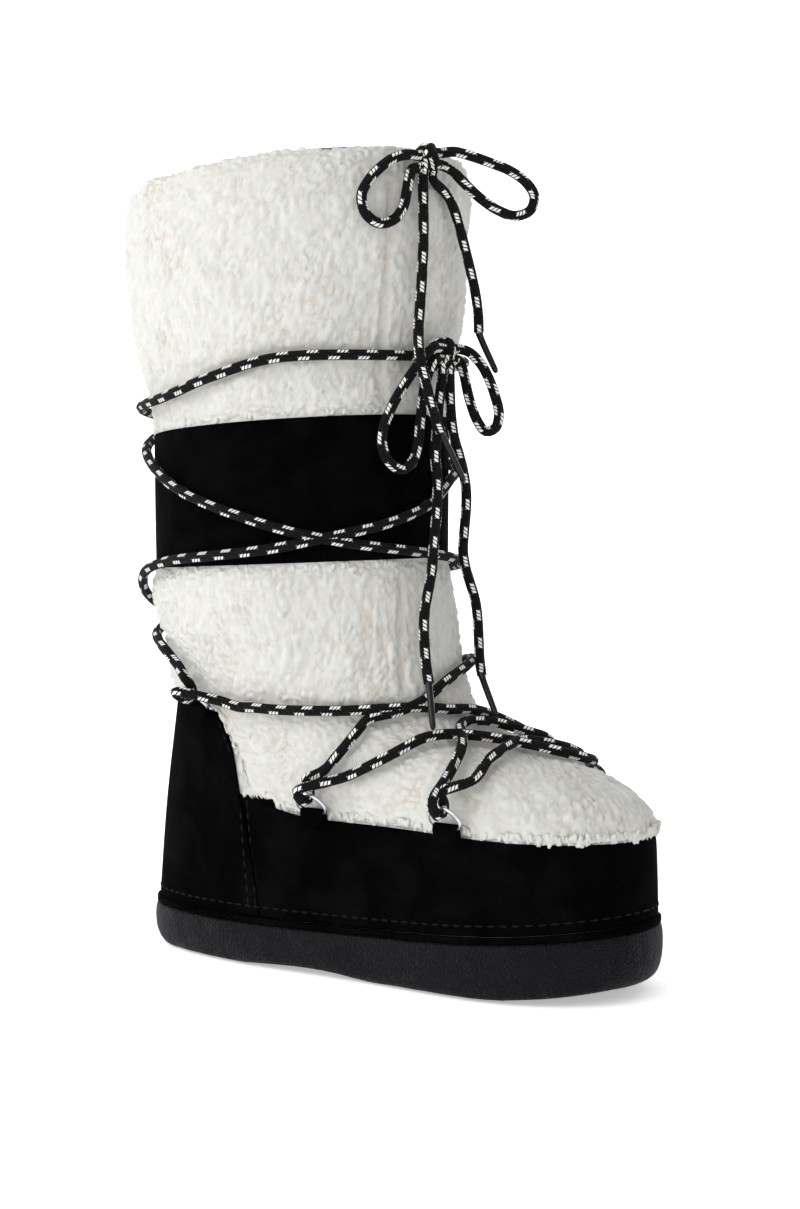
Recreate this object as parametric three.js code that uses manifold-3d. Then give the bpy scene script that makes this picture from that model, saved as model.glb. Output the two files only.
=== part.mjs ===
// Suede boot with a shearling vamp and shaft, a suede band, a low rubber unit sole and a long round lace.
// Units are millimetres. x runs from heel to toe, y to the wearer's left, z up, with the floor at z = 0.
import * as THREE from 'three';
import { mergeVertices } from 'three/addons/utils/BufferGeometryUtils.js';
import Module from 'manifold-3d';

const wasm = await Module();
wasm.setup();

// Driving sizes of the foot
const outsoleLength = 300;
const ballWidth = 112;
const instepHeight = 148;

// Driving sizes of the shaft, measured on the wall that the pile and the band cover
const shaftDepth = 154;
const shaftWidth = 140;
const shaftCentreX = -59;
const bandBottomHeight = 208;
const bandHeight = 74.5;
const bootHeight = 414;

// Sole
const heelSoleHeight = 22;
const toeSoleHeight = 34;
const toeSpring = 7;
const heelLift = 1.5;
const archLift = 2;
const soleMargin = 4.2;
const treadDepth = 2.5;
const treadWidth = 4;
const treadPitch = 15;
const insoleThickness = 4;

// Walls, layers and clearances
const wall = 3;
const suede = 1.8;
const clearance = 0.3;
const edgeGap = 1.2;
const weltHeight = 3;
const weltProud = 1.4;
const pile = 5;
const cuffPile = 6;
const curl = 1.1;
const rimRise = 4;

// Suede foot: heights of its top edge above the floor, and where the heel counter ends
const toePanelHeight = 78;
const sidePanelHeight = 80.5;
const jointPanelHeight = 88;
const counterFrontHeight = 131;
const counterBackHeight = 140;
const counterFootAngle = 70;
const counterTopAngle = 63;
const counterGapAngle = 1.5;

// Rings, tabs and lace. A ring's bar stands off the wall and above the suede's edge.
const ringWidth = 20;
const ringRise = 14;
const ringWire = 1.8;
const ringLean = 35;
const barOff = 6.4;
const barAbove = 3;
const tabWidth = 13;
const tabLeather = 1.2;
const tabLeg = 5.5;
const tabLean = 15;
const laceDiameter = 5.2;
const laceSlack = 0.6;
const agletDiameter = 4;

// Colours, roughness and metalness of the materials
const finishes = {
  rubber: [0x2a2d33, 0.75, 0],
  footbed: [0xcfc8ba, 0.95, 0],
  shearling: [0xefebe2, 1, 0],
  suede: [0x0b0b0c, 0.95, 0],
  steel: [0xb9bbbd, 0.3, 1],
  lace: [0x101010, 0.85, 0],
  aglet: [0x0a0a0a, 0.25, 0],
};

// Rings of the foot. back and front are shares of the outsole's length from its middle, the two rises are
// shares of the instep's height, and the five half widths, from the back round to the toe, are shares of
// half the ball's width. Each half width is what the outline would have there if it were a plain ellipse.
const footRings = [
  { back: -0.480, backRise: 0.149, front: 0.483, frontRise: 0.230, widths: [1.39, 1.018, 0.848, 1.214, 1.49] },
  { back: -0.471, backRise: 0.345, front: 0.481, frontRise: 0.385, widths: [1.39, 1.020, 0.857, 1.214, 1.48] },
  { back: -0.459, backRise: 0.568, front: 0.477, frontRise: 0.534, widths: [1.40, 1.030, 0.850, 1.180, 1.45] },
  { back: -0.449, backRise: 0.676, front: 0.453, frontRise: 0.608, widths: [1.40, 1.045, 0.860, 1.080, 1.26] },
  { back: -0.440, backRise: 0.777, front: 0.388, frontRise: 0.666, widths: [1.38, 1.035, 0.850, 0.935, 0.86] },
  { back: -0.431, backRise: 0.865, front: 0.313, frontRise: 0.728, widths: [1.34, 1.036, 0.843, 0.810, 0.67] },
  { back: -0.424, backRise: 0.932, front: 0.246, frontRise: 0.764, widths: [1.31, 1.060, 0.855, 0.755, 0.60] },
  { back: -0.420, backRise: 0.993, front: 0.177, frontRise: 0.808, widths: [1.28, 1.085, 0.885, 0.800, 0.64] },
  { back: -0.421, backRise: 1.054, front: 0.129, frontRise: 0.866, widths: [1.25, 1.100, 0.930, 0.890, 0.82] },
];

// Rings of the ankle. back and front are shares of half the shaft's depth from its centre, the rises are
// shares of the way from the instep up to the band, and the half widths are shares of half the shaft's width.
const ankleRings = [
  { back: -0.896, backRise: 0.333, front: 1.160, frontRise: -0.030, widths: [1.00, 0.905, 0.820, 0.835, 0.90] },
  { back: -0.942, backRise: 0.533, front: 1.085, frontRise: 0.290, widths: [0.98, 0.945, 0.900, 0.895, 0.94] },
  { back: -0.980, backRise: 0.750, front: 1.026, frontRise: 0.680, widths: [0.99, 0.985, 0.975, 0.965, 0.97] },
];

// Rings at the band. The rises are shares of the band's height above its lower edge.
const bandRings = [
  { back: -0.994, backRise: -0.094, front: 1.006, frontRise: 0, widths: [1, 1, 1, 1, 1] },
  { back: -1.006, backRise: 0.866, front: 1.013, frontRise: 1, widths: [1.007, 1.007, 1.007, 1.007, 1.007] },
];

// Rings of the cuff. The rises are shares of the way from the band's upper edge to the collar.
const cuffRings = [
  { back: -0.990, backRise: 0.060, front: 0.994, frontRise: 0.189, widths: [0.99, 0.99, 0.99, 0.99, 0.99] },
  { back: -1.084, backRise: 0.285, front: 1.058, frontRise: 0.381, widths: [1.08, 1.08, 1.08, 1.08, 1.08] },
  { back: -1.136, backRise: 0.502, front: 1.084, frontRise: 0.622, widths: [1.12, 1.12, 1.12, 1.12, 1.12] },
  { back: -1.149, backRise: 0.703, front: 1.097, frontRise: 0.847, widths: [1.136, 1.136, 1.136, 1.136, 1.136] },
  { back: -1.110, backRise: 0.855, front: 1.060, frontRise: 1, widths: [1.10, 1.10, 1.10, 1.10, 1.10] },
];

// The sole's side from its top edge down: height as a share of the sole's thickness there, and how far
// it stands out as a share of the sole's margin.
const soleSide = [
  { height: 1.00, proud: 0.72 },
  { height: 0.92, proud: 1.00 },
  { height: 0.55, proud: 1.06 },
  { height: 0.26, proud: 0.80 },
  { height: 0.08, proud: 0.20 },
  { height: 0.00, proud: -0.60 },
];

// The sole's underside along its length: share of the length from the heel, and its height off the floor as
// a share of the heel lift, the arch lift or the toe spring.
const underside = [
  { at: 0.00, lift: heelLift, share: 1 },
  { at: 0.05, lift: heelLift, share: 0 },
  { at: 0.31, lift: archLift, share: 0 },
  { at: 0.39, lift: archLift, share: 1 },
  { at: 0.46, lift: archLift, share: 1 },
  { at: 0.53, lift: archLift, share: 0 },
  { at: 0.80, lift: toeSpring, share: 0 },
  { at: 0.90, lift: toeSpring, share: 0.34 },
  { at: 1.00, lift: toeSpring, share: 1 },
];

// Cross bars of the tread: where each group starts, as a share of the length from the heel, how many grooves
// it has, and their half length as a share of half the ball's width.
const treadGroups = [
  { start: 0.075, grooves: 5, reach: 0.56 },
  { start: 0.545, grooves: 6, reach: 0.74 },
];

// Column angles of one side, in degrees from the back to the toe, with a close pair at the counter's end
const backColumns = 8;
const frontColumns = 15;
const counterColumnStep = 2.5;

// Small helpers
function mix(from, to, share) {
  return from + (to - from) * share;
}

function ease(share) {
  const held = Math.min(1, Math.max(0, share));
  return held * held * (3 - 2 * held);
}

function radians(degrees) {
  return degrees * Math.PI / 180;
}

// A smooth curve through a row of values that never swings past them
function through(values, place) {
  const last = values.length - 1;
  const held = Math.min(last, Math.max(0, place));
  const low = Math.min(last - 1, Math.floor(held));
  const share = held - low;
  const slope = (index) => {
    if (index < 1 || index >= last) {
      return index < 1 ? values[1] - values[0] : values[last] - values[last - 1];
    }
    const before = values[index] - values[index - 1];
    const after = values[index + 1] - values[index];
    return before * after > 0 ? 2 * before * after / (before + after) : 0;
  };
  const square = share * share;
  const cube = square * share;
  return values[low] * (2 * cube - 3 * square + 1) + slope(low) * (cube - 2 * square + share)
    + values[low + 1] * (3 * square - 2 * cube) + slope(low + 1) * (cube - square);
}

// The sole's top, which the upper stands on, by share of the length
function soleTop(share) {
  return mix(heelSoleHeight, toeSoleHeight, Math.pow(share, 3));
}

function soleUnderside(share) {
  for (let index = 1; index < underside.length; index += 1) {
    const before = underside[index - 1];
    const after = underside[index];
    if (share <= after.at) {
      return mix(before.lift * before.share, after.lift * after.share, (share - before.at) / (after.at - before.at));
    }
  }
  return toeSpring;
}

// The last: all rings in millimetres
function ringsFrom(table, zeroX, unitX, zeroZ, unitZ, halfWidth) {
  return table.map((row) => ({
    backX: zeroX + row.back * unitX,
    frontX: zeroX + row.front * unitX,
    backZ: zeroZ + row.backRise * unitZ,
    frontZ: zeroZ + row.frontRise * unitZ,
    widths: row.widths.map((share) => share * halfWidth),
  }));
}

const bandTopHeight = bandBottomHeight + bandHeight;
const collarHeight = bootHeight - rimRise - curl - clearance;
const rings = [
  ...ringsFrom(footRings, 0, outsoleLength, 0, instepHeight, ballWidth / 2),
  ...ringsFrom(ankleRings, shaftCentreX, shaftDepth / 2, instepHeight, bandBottomHeight - instepHeight, shaftWidth / 2),
  ...ringsFrom(bandRings, shaftCentreX, shaftDepth / 2, bandBottomHeight, bandHeight, shaftWidth / 2),
  ...ringsFrom(cuffRings, shaftCentreX, shaftDepth / 2, bandTopHeight, collarHeight - bandTopHeight, shaftWidth / 2),
];
const bandBottomRow = footRings.length + ankleRings.length;
const bandTopRow = bandBottomRow + 1;
const collarRow = rings.length - 1;
const columnsOf = {
  backX: rings.map((ring) => ring.backX),
  frontX: rings.map((ring) => ring.frontX),
  backZ: rings.map((ring) => ring.backZ),
  frontZ: rings.map((ring) => ring.frontZ),
  widths: [0, 1, 2, 3, 4].map((index) => rings.map((ring) => ring.widths[index])),
};

// A point of the wall. row runs from 0 at the sole to collarRow, angle in degrees from the back past the
// right side to the toe and on past the left side.
function wallPoint(row, angle) {
  const turn = radians(angle);
  const share = (1 - Math.cos(turn)) / 2;
  const folded = Math.abs(((angle + 180) % 360 + 360) % 360 - 180) / 45;
  const widths = columnsOf.widths.map((column) => through(column, row));
  const halfWidth = through(widths, folded);
  const follow = 1 - ease(row / 2);
  const straight = mix(heelSoleHeight, toeSoleHeight, share);
  return new THREE.Vector3(
    mix(through(columnsOf.backX, row), through(columnsOf.frontX, row), share),
    -Math.sin(turn) * halfWidth,
    mix(through(columnsOf.backZ, row), through(columnsOf.frontZ, row), share)
      + follow * (soleTop(share) - straight),
  );
}

function wallNormal(row, angle) {
  const step = 0.02;
  const low = Math.max(0, row - step);
  const high = Math.min(collarRow, row + step);
  const up = wallPoint(high, angle).sub(wallPoint(low, angle));
  const round = wallPoint(row, angle + 0.5).sub(wallPoint(row, angle - 0.5));
  return round.cross(up).normalize();
}

function wallOffset(row, angle, out) {
  return wallPoint(row, angle).addScaledVector(wallNormal(row, angle), out);
}

// The row at which a column of the wall reaches a height
function rowAtHeight(angle, height) {
  let low = 0;
  let high = collarRow;
  for (let pass = 0; pass < 30; pass += 1) {
    const middle = (low + high) / 2;
    if (wallPoint(middle, angle).z < height) {
      low = middle;
    } else {
      high = middle;
    }
  }
  return (low + high) / 2;
}

// Top edge of the suede foot at a column: the side panel's, or the counter's behind its front edge
function sideAngle(angle) {
  return Math.abs(((angle + 180) % 360 + 360) % 360 - 180);
}

function panelEdgeHeight(angle) {
  const behind = (jointPanelHeight - sidePanelHeight) * (1 - ease((sideAngle(angle) - counterTopAngle) / 18));
  return behind + mix(sidePanelHeight, toePanelHeight, ease((sideAngle(angle) - 100) / 40));
}

function counterEdgeHeight(angle) {
  return mix(counterBackHeight, counterFrontHeight, ease(sideAngle(angle) / counterTopAngle));
}

function suedeEdgeHeight(angle) {
  return sideAngle(angle) < counterTopAngle + clearance ? counterEdgeHeight(angle) : panelEdgeHeight(angle);
}

function counterEndAngle(height) {
  const share = (height - heelSoleHeight) / (jointPanelHeight - heelSoleHeight);
  return share < 1 ? mix(counterFootAngle, counterTopAngle, share) : counterTopAngle - counterGapAngle;
}

const sideAngles = [];
for (let index = 0; index <= backColumns; index += 1) {
  sideAngles.push(counterTopAngle * index / backColumns);
}
for (let index = 0; index <= frontColumns; index += 1) {
  sideAngles.push(mix(counterTopAngle + counterColumnStep, 180, index / frontColumns));
}
const roundAngles = [...sideAngles, ...sideAngles.slice(1, -1).reverse().map((angle) => 360 - angle)];

// Solids from points
function solidGeometry(points, faces) {
  const geometry = new THREE.BufferGeometry();
  geometry.setAttribute('position', new THREE.Float32BufferAttribute(points.flatMap((p) => [p.x, p.y, p.z]), 3));
  let volume = 0;
  faces.forEach(([a, b, c]) => {
    volume += points[a].dot(new THREE.Vector3().crossVectors(points[b], points[c]));
  });
  geometry.setIndex(faces.flatMap(([a, b, c]) => (volume > 0 ? [a, b, c] : [a, c, b])));
  geometry.computeVertexNormals();
  return geometry;
}

// A closed band of loops, each a list of as many points: a tube when it wraps round, or a body with its two
// end loops closed across from side to side
function loopSolid(loops, closing) {
  const count = loops[0].length;
  const points = loops.flat();
  const faces = [];
  const bands = closing === 'ring' ? loops.length : loops.length - 1;
  for (let loop = 0; loop < bands; loop += 1) {
    const next = (loop + 1) % loops.length;
    for (let index = 0; index < count; index += 1) {
      const beside = (index + 1) % count;
      const a = loop * count + index;
      const b = loop * count + beside;
      const c = next * count + beside;
      const d = next * count + index;
      faces.push([a, b, c], [a, c, d]);
    }
  }
  if (closing === 'caps') {
    [0, (loops.length - 1) * count].forEach((start, end) => {
      for (let index = 0; index < count / 2; index += 1) {
        const near = [start + index, start + index + 1];
        const far = [start + (count - index) % count, start + count - index - 1];
        const corners = [near[0], near[1], far[1], far[0]];
        [[0, 1, 2], [0, 2, 3]].forEach((face) => {
          const [a, b, c] = face.map((corner) => corners[corner]);
          if (a !== b && b !== c && a !== c) {
            faces.push(end === 0 ? [a, c, b] : [a, b, c]);
          }
        });
      }
    });
  }
  return solidGeometry(points, faces);
}

// A patch of sheet: a grid of outer points and the grid of inner points behind it, closed at its edges
function sheetSolid(outer, inner) {
  const rowCount = outer.length;
  const loops = [];
  for (let column = 0; column < outer[0].length; column += 1) {
    const loop = [];
    for (let row = 0; row < rowCount; row += 1) {
      loop.push(outer[row][column]);
    }
    for (let row = rowCount - 1; row >= 0; row -= 1) {
      loop.push(inner[row][column]);
    }
    loops.push(loop);
  }
  const count = rowCount * 2;
  const points = loops.flat();
  const faces = [];
  for (let loop = 0; loop < loops.length - 1; loop += 1) {
    for (let index = 0; index < count; index += 1) {
      const beside = (index + 1) % count;
      const a = loop * count + index;
      const b = loop * count + beside;
      const c = b + count;
      const d = a + count;
      faces.push(...(index < rowCount ? [[a, b, c], [a, c, d]] : [[a, b, d], [b, c, d]]));
    }
  }
  [0, (loops.length - 1) * count].forEach((start, end) => {
    for (let row = 0; row < rowCount - 1; row += 1) {
      const corners = [start + row, start + row + 1, start + count - row - 2, start + count - row - 1];
      const [a, b, c, d] = corners;
      faces.push(...(end === 0 ? [[a, c, b], [a, d, c]] : [[a, b, c], [a, c, d]]));
    }
  });
  return solidGeometry(points, faces);
}

function toManifold(geometry) {
  const bare = geometry.clone();
  bare.deleteAttribute('normal');
  bare.deleteAttribute('uv');
  const merged = mergeVertices(bare, 1e-4);
  return new wasm.Manifold(new wasm.Mesh({
    numProp: 3,
    vertProperties: new Float32Array(merged.attributes.position.array),
    triVerts: new Uint32Array(merged.index.array),
  }));
}

function fromManifold(solid) {
  const mesh = solid.getMesh();
  const geometry = new THREE.BufferGeometry();
  geometry.setAttribute('position', new THREE.BufferAttribute(new Float32Array(mesh.vertProperties), 3));
  geometry.setIndex(new THREE.BufferAttribute(new Uint32Array(mesh.triVerts), 1));
  geometry.computeVertexNormals();
  return geometry;
}

// Outsole: rounded side, arch, toe spring and cross-bar tread
function outsoleGeometry() {
  const loops = soleSide.map((step) => roundAngles.map((angle) => {
    const share = (1 - Math.cos(radians(angle))) / 2;
    const point = wallPoint(0, angle);
    const out = wallNormal(0, angle).setZ(0).normalize();
    point.addScaledVector(out, step.proud * soleMargin);
    point.z = mix(soleUnderside(share), soleTop(share), step.height);
    return point;
  }));
  let solid = toManifold(loopSolid(loops, 'caps'));
  treadGroups.forEach((group) => {
    for (let groove = 0; groove < group.grooves; groove += 1) {
      const x = (group.start - 0.5) * outsoleLength + groove * treadPitch + treadWidth;
      const length = group.reach * ballWidth;
      const cutter = new THREE.BoxGeometry(treadWidth, length, treadDepth * 2);
      cutter.translate(x, 0, 0);
      solid = solid.subtract(toManifold(cutter));
    }
  });
  return fromManifold(solid);
}

function insoleGeometry() {
  const loops = [0, insoleThickness].map((rise) => roundAngles.map((angle) => {
    const share = (1 - Math.cos(radians(angle))) / 2;
    const point = wallPoint(0, angle);
    const out = wallNormal(0, angle).setZ(0).normalize();
    point.addScaledVector(out, -wall - 2 * clearance);
    point.z = soleTop(share) + clearance + rise;
    return point;
  }));
  return loopSolid(loops, 'caps');
}

// Upper: one wall, open underneath and at the collar. Its outside carries the pile, which stands out in
// curls wherever no suede covers it.
const sheetRows = 5;
const vampRows = 11;
const bandRows = 3;
const cuffRows = 8;
const liningRows = 8;

function curlAt(column, row) {
  const wave = Math.sin(column * 12.9898 + row * 78.233) * 43758.5453;
  return (wave - Math.floor(wave)) * 2 - 1;
}

function panelFoot(angle) {
  const share = (1 - Math.cos(radians(angle))) / 2;
  return soleTop(share) + weltHeight + 3 * clearance;
}

function upperGeometry() {
  const flush = suede + clearance;
  const loops = [];
  const addLoop = (rowOf, outOf) => {
    loops.push(roundAngles.map((angle, column) => wallOffset(rowOf(angle), angle, outOf(column, loops.length))));
  };
  const edgeRow = (angle) => rowAtHeight(angle, suedeEdgeHeight(angle));
  const pastEdgeRow = (angle) => rowAtHeight(angle, suedeEdgeHeight(angle) + edgeGap);
  addLoop(() => 0, () => 0);
  for (let step = 0; step <= sheetRows; step += 1) {
    addLoop(
      (angle) => rowAtHeight(angle, mix(panelFoot(angle), suedeEdgeHeight(angle) - edgeGap, step / sheetRows)),
      () => 0,
    );
  }
  addLoop(edgeRow, () => 0);
  addLoop(pastEdgeRow, () => flush);
  const nearBand = 0.06;
  for (let step = 1; step < vampRows; step += 1) {
    const full = step > 1 ? pile : mix(flush, pile, 0.6);
    const bump = step > 1 ? curl : curl / 4;
    addLoop(
      (angle) => mix(pastEdgeRow(angle), bandBottomRow - nearBand * 4, step / vampRows),
      (column, row) => full + bump * curlAt(column, row),
    );
  }
  addLoop(() => bandBottomRow - nearBand, () => flush);
  for (let step = 0; step <= bandRows; step += 1) {
    addLoop(() => mix(bandBottomRow, bandTopRow, step / bandRows), () => 0);
  }
  addLoop(() => bandTopRow + nearBand, () => flush);
  for (let step = 1; step <= cuffRows; step += 1) {
    addLoop(
      () => mix(bandTopRow + nearBand * 4, collarRow, step / cuffRows),
      (column, row) => mix(pile, cuffPile, step / cuffRows) + curl * curlAt(column, row),
    );
  }
  const rimLoop = (out, rise) => {
    loops.push(roundAngles.map((angle) => {
      const point = wallOffset(collarRow, angle, 0);
      const flat = wallNormal(collarRow, angle).setZ(0).normalize();
      point.addScaledVector(flat, out);
      point.z += rise;
      return point;
    }));
  };
  rimLoop(cuffPile / 2, rimRise);
  rimLoop(-wall / 2, rimRise);
  for (let step = 0; step <= liningRows; step += 1) {
    addLoop(() => mix(collarRow, 0, step / liningRows), () => -wall);
  }
  loops.forEach((loop) => loop.forEach((point) => {
    point.z = Math.max(point.z, 0);
  }));
  raiseToSole(loops[0]);
  raiseToSole(loops[loops.length - 1]);
  return loopSolid(loops, 'ring');
}

function raiseToSole(loop) {
  loop.forEach((point, column) => {
    const share = (1 - Math.cos(radians(roundAngles[column]))) / 2;
    point.z = soleTop(share) + clearance;
  });
}

// Suede sheets over the wall, from a lower to an upper height at each column
function suedeSheet(angleGrid, out) {
  const grid = (offset) => angleGrid.map((line) => line.map(({ angle, height }) => (
    wallOffset(rowAtHeight(angle, height), angle, offset)
  )));
  return sheetSolid(grid(out), grid(clearance));
}

function footPanelGeometry() {
  const inner = roundAngles.filter((angle) => sideAngle(angle) > counterFootAngle + counterColumnStep);
  const lines = [];
  for (let step = 0; step <= sheetRows; step += 1) {
    const share = step / sheetRows;
    const startHeight = mix(panelFoot(counterFootAngle), jointPanelHeight - edgeGap, share);
    const start = counterEndAngle(startHeight) + clearance * 2;
    const between = mix(start, inner[0], 0.5);
    const line = [start, between, ...inner, 360 - between, 360 - start].map((angle) => ({
      angle,
      height: mix(panelFoot(angle), panelEdgeHeight(angle) - edgeGap, share),
    }));
    lines.push(line);
  }
  return suedeSheet(lines, clearance + suede);
}

function heelCounterGeometry() {
  const inner = sideAngles.filter((angle) => angle < counterTopAngle - counterColumnStep);
  const lines = [];
  for (let step = 0; step <= sheetRows; step += 1) {
    const share = step / sheetRows;
    const endHeight = mix(panelFoot(counterFootAngle), counterFrontHeight - edgeGap, share);
    const end = counterEndAngle(endHeight);
    const right = [...inner, mix(inner[inner.length - 1], end, 0.5), end];
    const line = [...right.slice(1).reverse().map((angle) => -angle), ...right].map((angle) => ({
      angle,
      height: mix(panelFoot(angle), counterEdgeHeight(angle) - edgeGap, share),
    }));
    lines.push(line);
  }
  return suedeSheet(lines, clearance + suede);
}

// Sheets that run right round: the band of the shaft and the welt at the sole
function roundSheet(lowRow, highRow, rows, out) {
  const loops = [];
  for (let step = 0; step <= rows; step += 1) {
    loops.push(roundAngles.map((angle) => wallOffset(mix(lowRow(angle), highRow(angle), step / rows), angle, out)));
  }
  for (let step = rows; step >= 0; step -= 1) {
    loops.push(roundAngles.map((angle) => (
      wallOffset(mix(lowRow(angle), highRow(angle), step / rows), angle, clearance)
    )));
  }
  return loopSolid(loops, 'ring');
}

function shaftBandGeometry() {
  const low = (angle) => rowAtHeight(angle, wallPoint(bandBottomRow, angle).z + edgeGap);
  const high = (angle) => rowAtHeight(angle, wallPoint(bandTopRow, angle).z - edgeGap);
  return roundSheet(low, high, bandRows, clearance + suede);
}

function weltGeometry() {
  const share = (angle) => (1 - Math.cos(radians(angle))) / 2;
  const low = (angle) => rowAtHeight(angle, soleTop(share(angle)) + 2 * clearance);
  const high = (angle) => rowAtHeight(angle, soleTop(share(angle)) + weltHeight + 2 * clearance);
  return roundSheet(low, high, 1, clearance + suede + weltProud);
}

// The frame of a ring: its bar's middle on the suede's edge, the way round, the way up and the way out
function ringFrame(angle) {
  const row = rowAtHeight(angle, suedeEdgeHeight(angle));
  const out = wallNormal(row, angle);
  const round = wallPoint(row, angle + 1).sub(wallPoint(row, angle - 1));
  round.addScaledVector(out, -round.dot(out)).normalize();
  const up = out.clone().cross(round);
  const middle = wallPoint(row, angle).addScaledVector(out, barOff).addScaledVector(up, barAbove);
  return { middle, round, up, out };
}

function leaned(frame, degrees) {
  const lean = radians(degrees);
  const rise = frame.up.clone().multiplyScalar(Math.cos(lean)).addScaledVector(frame.out, Math.sin(lean));
  const face = frame.out.clone().multiplyScalar(Math.cos(lean)).addScaledVector(frame.up, -Math.sin(lean));
  return { rise, face };
}

// A D-shaped ring of wire: a bar, two sides and a round top
const ringHalf = (ringWidth - ringWire) / 2;
const ringTop = ringRise - ringWire;
const ringSides = 5;
const ringTopSteps = 8;

function ringGeometry(frame) {
  const { rise, face } = leaned(frame, ringLean);
  const corner = ringTop - ringHalf;
  const flat = [];
  for (let step = 0; step <= 2; step += 1) {
    const turn = radians(-90 + 45 * step);
    flat.push([ringHalf - corner + corner * Math.cos(turn), corner + corner * Math.sin(turn)]);
  }
  for (let step = 1; step < ringTopSteps; step += 1) {
    const turn = radians(180 * step / ringTopSteps);
    flat.push([ringHalf * Math.cos(turn), corner + ringHalf * Math.sin(turn)]);
  }
  for (let step = 0; step <= 2; step += 1) {
    const turn = radians(180 + 45 * step);
    flat.push([-ringHalf + corner + corner * Math.cos(turn), corner + corner * Math.sin(turn)]);
  }
  const at = ([across, high]) => frame.middle.clone().addScaledVector(frame.round, across).addScaledVector(rise, high);
  const loops = flat.map((place, index) => {
    const before = at(flat[(index + flat.length - 1) % flat.length]);
    const after = at(flat[(index + 1) % flat.length]);
    const side = after.sub(before).normalize().cross(face);
    return Array.from({ length: ringSides }, (_, corners) => {
      const turn = radians(360 * corners / ringSides);
      return at(place).addScaledVector(side, Math.cos(turn) * ringWire / 2)
        .addScaledVector(face, Math.sin(turn) * ringWire / 2);
    });
  });
  return loopSolid(loops, 'ring');
}

// A tab: a strip of leather folded over the ring's bar, its two legs down the suede
function tabGeometry(frame) {
  const { rise, face } = leaned(frame, tabLean);
  const inside = ringWire / 2 + clearance;
  const outside = inside + tabLeather;
  const shape = new THREE.Shape();
  shape.moveTo(-outside, -tabLeg);
  shape.lineTo(-inside, -tabLeg);
  shape.lineTo(-inside, 0);
  shape.absarc(0, 0, inside, Math.PI, 0, true);
  shape.lineTo(inside, -tabLeg);
  shape.lineTo(outside, -tabLeg);
  shape.lineTo(outside, 0);
  shape.absarc(0, 0, outside, 0, Math.PI, false);
  const geometry = new THREE.ExtrudeGeometry(shape, { depth: tabWidth, bevelEnabled: false, curveSegments: 4 });
  geometry.translate(0, 0, -tabWidth / 2);
  const along = face.clone().cross(rise);
  geometry.applyMatrix4(new THREE.Matrix4().makeBasis(face, rise, along).setPosition(frame.middle));
  return geometry;
}

// Rings on each side: degrees round from the back. The left side's stand a little further forward.
const ringAngles = {
  d_ring_right_front: 118,
  d_ring_right_middle: 84,
  d_ring_right_back: 55,
  d_ring_left_front: 236,
  d_ring_left_middle: 268,
  d_ring_left_back: 305,
};

// How a lace turns round a ring's top: from outside it, through its hole, and up inside it
const turnRadius = (ringWire + laceDiameter) / 2 + clearance * 2;

function threadPoints(angle) {
  const frame = ringFrame(angle);
  const { rise, face } = leaned(frame, ringLean);
  const at = (high, off) => frame.middle.clone().addScaledVector(rise, ringTop + high * turnRadius)
    .addScaledVector(face, off * turnRadius);
  const slant = Math.SQRT1_2;
  return {
    outside: [at(-slant, slant), at(0, 1), at(1.3, 1.1)],
    hole: at(-1, 0),
    inside: [at(-slant, -slant), at(0, -1), at(1.3, -1.1)],
  };
}

// Cords: a round tube of a given diameter along a smooth curve through its points
function tubeGeometry(points, diameter, sides, step) {
  const curve = new THREE.CatmullRomCurve3(points, false, 'centripetal');
  const section = new THREE.Shape();
  for (let side = 0; side < sides; side += 1) {
    const turn = 2 * Math.PI * side / sides;
    const corner = [Math.cos(turn) * diameter / 2, Math.sin(turn) * diameter / 2];
    if (side === 0) {
      section.moveTo(...corner);
    } else {
      section.lineTo(...corner);
    }
  }
  const steps = Math.max(1, Math.round(curve.getLength() / step));
  return new THREE.ExtrudeGeometry(section, { steps, bevelEnabled: false, extrudePath: curve });
}

// A laid lace: five-sided sections at its points, each turned on from the one before
const laceSides = 5;

function laidGeometry(points) {
  let side = new THREE.Vector3(0, 0, 1);
  const loops = points.map((point, index) => {
    const before = points[Math.max(0, index - 1)];
    const after = points[Math.min(points.length - 1, index + 1)];
    const along = point.clone().sub(before).normalize().add(after.clone().sub(point).normalize()).normalize();
    side = side.clone().addScaledVector(along, -side.dot(along)).normalize();
    const other = along.clone().cross(side);
    return Array.from({ length: laceSides }, (_, corner) => {
      const turn = radians(360 * corner / laceSides);
      return point.clone().addScaledVector(side, Math.cos(turn) * laceDiameter / 2)
        .addScaledVector(other, Math.sin(turn) * laceDiameter / 2);
    });
  });
  return loopSolid(loops, 'caps');
}

// The laid lace, as rows of [degrees round from the back, height]. Between rings it lies on the pile.
const barRight = [[129, 98.5], [140, 106.5], [154, 110.5], [172, 112], [190, 109.5], [208, 105], [220, 101.5]];
const frontToMiddle = [[125, 102], [134, 110], [150, 117.5], [166, 121], [182, 120], [206, 113.5], [232, 106],
  [252, 102.5]];
const middleToFront = [[97, 102.5], [107, 107.5], [125, 114.5], [140, 116.2], [160, 113], [180, 107.2],
  [200, 102.5], [224, 98.5]];
const middleToBack = [[95, 105], [107, 119.5], [124, 128], [141, 133], [156, 137.5], [171, 145], [186, 150.5],
  [210, 154.5], [250, 152], [284, 148]];
const backToMiddle = [[71, 139], [79, 136.2], [106, 136.6], [140, 136.4], [154, 135], [166, 130.5], [184, 126],
  [206, 120.5], [230, 112.5], [252, 106.5]];

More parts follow.
